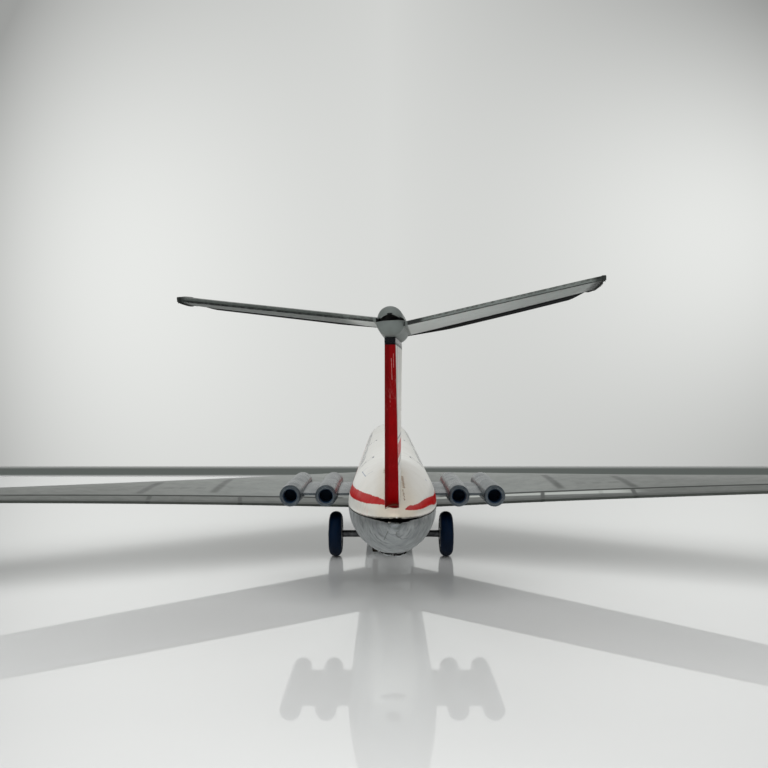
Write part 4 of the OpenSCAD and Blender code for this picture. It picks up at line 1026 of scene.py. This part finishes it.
# Grime and painted shade where pieces meet.
dirt_and_shade = wash(grime_and_shade(1.8, 0.9), 34, 38, 40)
wash(most(rubbed(0.35, 0.9) * 0.2, fit(along, -11.4, -10.9) * 0.7), 158, 165, 170)
surface(pod_litho, cloudy * 0.1 + (dirt_and_shade * 0.3 + 0.24), tin_face(0.12, 0.002) - marks * 0.02, Metallic=0.55)
refinish(pod_litho, *[f"engine_pod_{side}_{half}" for side in ("left", "right") for half in ("upper", "lower")])

POD_MID, TUBE_OFF, TUBE_UP = 29.7, 6.3, 37.7
pipe_steel = finish_of("tailpipe steel")
across, along, up = on_toy()
pipe_x = abs(abs(across) - POD_MID) - TUBE_OFF
# Painted shade inside each tailpipe's bore, dark blue.
painted_bore_shade = fit(calc("SQRT", pipe_x ** 2 + (up - TUBE_UP) ** 2), 2.62, 2.38)
cloudy = coat(smudges(1.8, 0.4, 0.7), (86, 94, 100), (60, 68, 75))
wash(rubbed(0.3, 0.8), 168, 175, 180)
wash(painted_bore_shade, 18, 44, 68)
surface(pipe_steel, painted_bore_shade * 0.5 + (cloudy * 0.15 + 0.28), tin_face(0.1, 0.02), Metallic=(1 - painted_bore_shade) * 0.8)
refinish(pipe_steel, *[f"tailpipe_{side}_{tube}" for side in ("left", "right") for tube in ("inner", "outer")],
         "intake_discs_left", "intake_discs_right")

# Friction motor: punched steel plates and pillars, drawn shafts, brass gears and a turned iron flywheel.
# It hangs in the belly slot and is dull with old oil.


def oily_metal(name, light, dark, rough, *nodes):
    """A worked metal for CAD pieces: clouded with oil, drawn one way and bright on its edges."""
    material = finish_of(name)
    on_toy()
    cloudy = smudges(3, 0.38, 0.7)
    drawn = scratches((0.2, 1.4, 1.4), (0, 0, 0), 0.6)
    coat(cloudy, light, dark)
    wash(drawn, *dark)
    # Grime and painted shade where pieces meet.
    wash(grime_and_shade(1.2, 0.9), 24, 22, 18)
    wash(rubbed(0.2, 0.7) * 0.6, 214, 214, 210)
    surface(material, cloudy * 0.22 + rough, tin_face(0.05, 0.015) - drawn * 0.02, Metallic=1)
    refinish(material, *nodes)


oily_metal("punched motor steel", (112, 112, 108), (66, 64, 58), 0.36, "motor_plate_left", "motor_plate_right",
           "motor_pillars")
oily_metal("drawn axle wire", (104, 106, 108), (58, 58, 60), 0.3, "main_axle", "idler_shaft", "flywheel_shaft",
           "nose_axle")
oily_metal("greased brass", (42, 36, 26), (26, 23, 18), 0.45, "axle_gear", "idler_pinion", "idler_gear",
           "flywheel_pinion")
oily_metal("turned flywheel iron", (92, 92, 94), (52, 50, 50), 0.38, "flywheel")

# Wheels: bright pressed hubs, pushed on their axles, and navy rubber tyres with round shoulders, a raised
# ring on each wall and a moulded line round the middle.
oily_metal("pressed hub steel", (186, 188, 188), (136, 138, 138), 0.26,
           "main_hub_left", "main_hub_right", "nose_hub_left", "nose_hub_right")
rubber = finish_of("navy rubber")
across = on_toy()[0]
cloudy = coat(smudges(2.4, 0.4, 0.7), (0, 18, 40), (2, 24, 48))
wash(rubbed(0.6, 0.6) * 0.15, 46, 56, 74)
mould_line = band(abs(across), 24.8, 25, 0.08)
surface(rubber, cloudy * 0.2 + 0.42, mould_line * 0.08 + speckle(Bench.spot, 4, 3) * 0.03, Specular_IOR_Level=0.15)


def tyre(name, hub, node, body):
    low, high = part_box(node)
    middle, half_w, radius = (low + high) / 2, (high - low).x / 2, (high - low).z / 2
    hub_low, hub_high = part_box(hub)
    hub_r = (hub_high - hub_low).z / 2 + 0.00001
    wall_r = lerp(hub_r, radius, 0.2)
    section = []
    for a in range(-90, 91, 6):
        sine, cosine = sin(radians(a)), cos(radians(a))
        section.append((half_w * copysign(abs(sine) ** 0.94, sine), wall_r + (radius - wall_r) * cosine ** 0.84))
    ring = 0.25 / 1000
    section += [(half_w, lerp(wall_r, hub_r, 0.2)), (half_w - ring, lerp(wall_r, hub_r, 0.35)),
                (half_w - ring, lerp(wall_r, hub_r, 0.7)), (half_w - 2 * ring, hub_r + ring),
                (half_w - 2 * ring, hub_r)]
    section += [(-x, r) for x, r in section[:-6:-1]]
    n, turns = len(section), 72
    points = []
    for turn in (2 * pi * k / turns for k in range(turns)):
        points += [(middle.x + x, middle.y + r * cos(turn), middle.z + r * sin(turn)) for x, r in section]
    faces = [(k * n + c, k * n + (c + 1) % n, (k + 1) % turns * n + (c + 1) % n, (k + 1) % turns * n + c)
             for k in range(turns) for c in range(n)]
    piece = solid(name, points, faces)
    crown = piece.data.polygons[15]
    if crown.normal.dot(crown.center - Vector((crown.center.x, middle.y, middle.z))) < 0:
        piece.data.flip_normals()
    dress(settle(piece, 40), rubber, node, body)


for axle in ("main", "nose"):
    for word in ("left", "right"):
        tyre(f"{axle}_tyre_rubber_{word}", f"{axle}_hub_{word}", f"{axle}_tyre_{word}", f"{axle}_wheels")

# Nose gear bracket: a strip of tin folded down to carry the nose axle, with its two tabs bent inside.
refinish(lower_litho, "nose_gear_bracket")

# The table and the light round it: a glossy white sheet whose far edge shows as a dark line, a pale
# backdrop with two bright patches, a large lamp overhead, one to each side, and the camera behind the tail.
def sheet_on_stage(name, x, y, z, material):
    floor = solid(name, [(x[0], y[0], z), (x[1], y[0], z), (x[1], y[1], z), (x[0], y[1], z)], [(0, 1, 2, 3)])
    floor.data.materials.append(material)


SHEET_EDGE, DARK_EDGE = 0.283, 0.378
SHEET_WHITE = (0.8, 0.81, 0.8, 1)
gloss_white = finish_of("glossy white sheet")
Bench.colour = SHEET_WHITE
surface(gloss_white, 0.03, Coat_Weight=0.55, Coat_Roughness=0.02)
# Seen from below, the sheet lets the toy's underside be looked at.
from_below = put("NewGeometry", out="Backfacing") * put("LightPath", out="Is Camera Ray")
nodes = Bench.tree.nodes
seen_through = put("MixShader", from_below, Value(nodes["Principled BSDF"].outputs[0]), put("BsdfTransparent"))
join([(nodes["Material Output"].inputs[0], seen_through)])
dark_edge = finish_of("dark edge of the sheet")
far_along = split(put("TexCoord", out="Object"))[1]
# The dark band is painted: the far edge of the sheet and painted shade at its foot.
painted_edge_shade = fit(far_along, 0.284, 0.308) * fit(far_along, DARK_EDGE, 0.35)
Bench.colour = mix(fit(far_along, 0.32, 0.33), SHEET_WHITE, (0.5, 0.51, 0.495, 1))
wash(painted_edge_shade, (0.12, 0.136, 0.126, 1))
surface(dark_edge, 0.7, Specular_IOR_Level=0.1)
sheet_on_stage("floor", (-3, 3), (-3, SHEET_EDGE), 0, gloss_white)
sheet_on_stage("floor_edge", (-3, 3), (SHEET_EDGE, DARK_EDGE), -0.0005, dark_edge)

world = bpy.data.worlds.new("backdrop")
bpy.context.scene.world = world
world.use_nodes = True
Bench.tree = world.node_tree
way = split(put("TexCoord", out="Generated"))
ahead = most(abs(way[1]), 0.02)
sideways, upwards = way[0] / ahead, way[2] / ahead


def glow(x, z, wide, tall):
    """A soft patch of light on the backdrop, about a place to the side and up."""
    dx = (sideways - x) / wide
    dz = (upwards - z) / tall
    far = dx * dx + dz * dz
    return calc("EXPONENT", far * -1)


def falloff(distance, reach):
    """One at an edge of the backdrop, fading inwards over a reach."""
    return calc("EXPONENT", calc("MINIMUM", distance, 0) / reach)


level = 0.687 + calc("MINIMUM", upwards, 0.5) * -0.042
level = level + glow(-0.456, 0.2, 0.316, 0.371) * 0.4
level = level + glow(0.533, 0.225, 0.321, 0.29) * 0.52
level = level - falloff(-0.5 - sideways, 0.135) * 0.3
level = level - falloff(sideways - 0.5, 0.3) * 0.257
to_corner = calc("MINIMUM", abs(sideways), 0.5) * falloff(upwards - 0.5, 0.6)
level = most(level - to_corner * 0.555, 0.34)
shade = mix(1, (0.985, 1, 0.975, 1), put("CombineXYZ", level, level, level), "MULTIPLY")
path = lay("LightPath").outputs
seen = most(*[Value(path[kind]) for kind in ("Is Camera Ray", "Is Glossy Ray", "Is Transmission Ray")])
chosen = put("MixShader", seen, put("Background", (0.97, 1, 1, 1), 0.03), put("Background", shade, 1))
join([(Bench.tree.nodes["World Output"].inputs[0], chosen)])


def lamp(name, spot, size, power):
    """A square lamp whose mirror image doesn't show in the sheet. All three aim at the toy's back half."""
    data = bpy.data.lights.new(name, "AREA")
    data.shape, data.size, data.energy = "SQUARE", size, power
    holder = show(name, data)
    holder.location = spot
    holder.rotation_euler = (Vector((0, -0.1, 0)) - Vector(spot)).to_track_quat("-Z", "Y").to_euler()
    holder.visible_glossy = False


lamp("overhead lamp", (-0.1, -0.55, 1), 1.5, 12.5)
lamp("left lamp", (-1.1, -0.6, 0.7), 0.9, 7.5)
lamp("right lamp", (1.1, -0.6, 0.7), 0.9, 7)

view = bpy.data.cameras.new("view")
view.sensor_width, view.lens, view.clip_start = 36, 36, 0.01
view.shift_x, view.shift_y = -2 / 768, 6 / 768
camera = show("camera", view)
camera.location = place(-2.25, -348, 75)
camera.rotation_euler = (pi / 2, 0, 0)
bpy.context.scene.camera = camera
bpy.context.scene.view_settings.view_transform = "Standard"
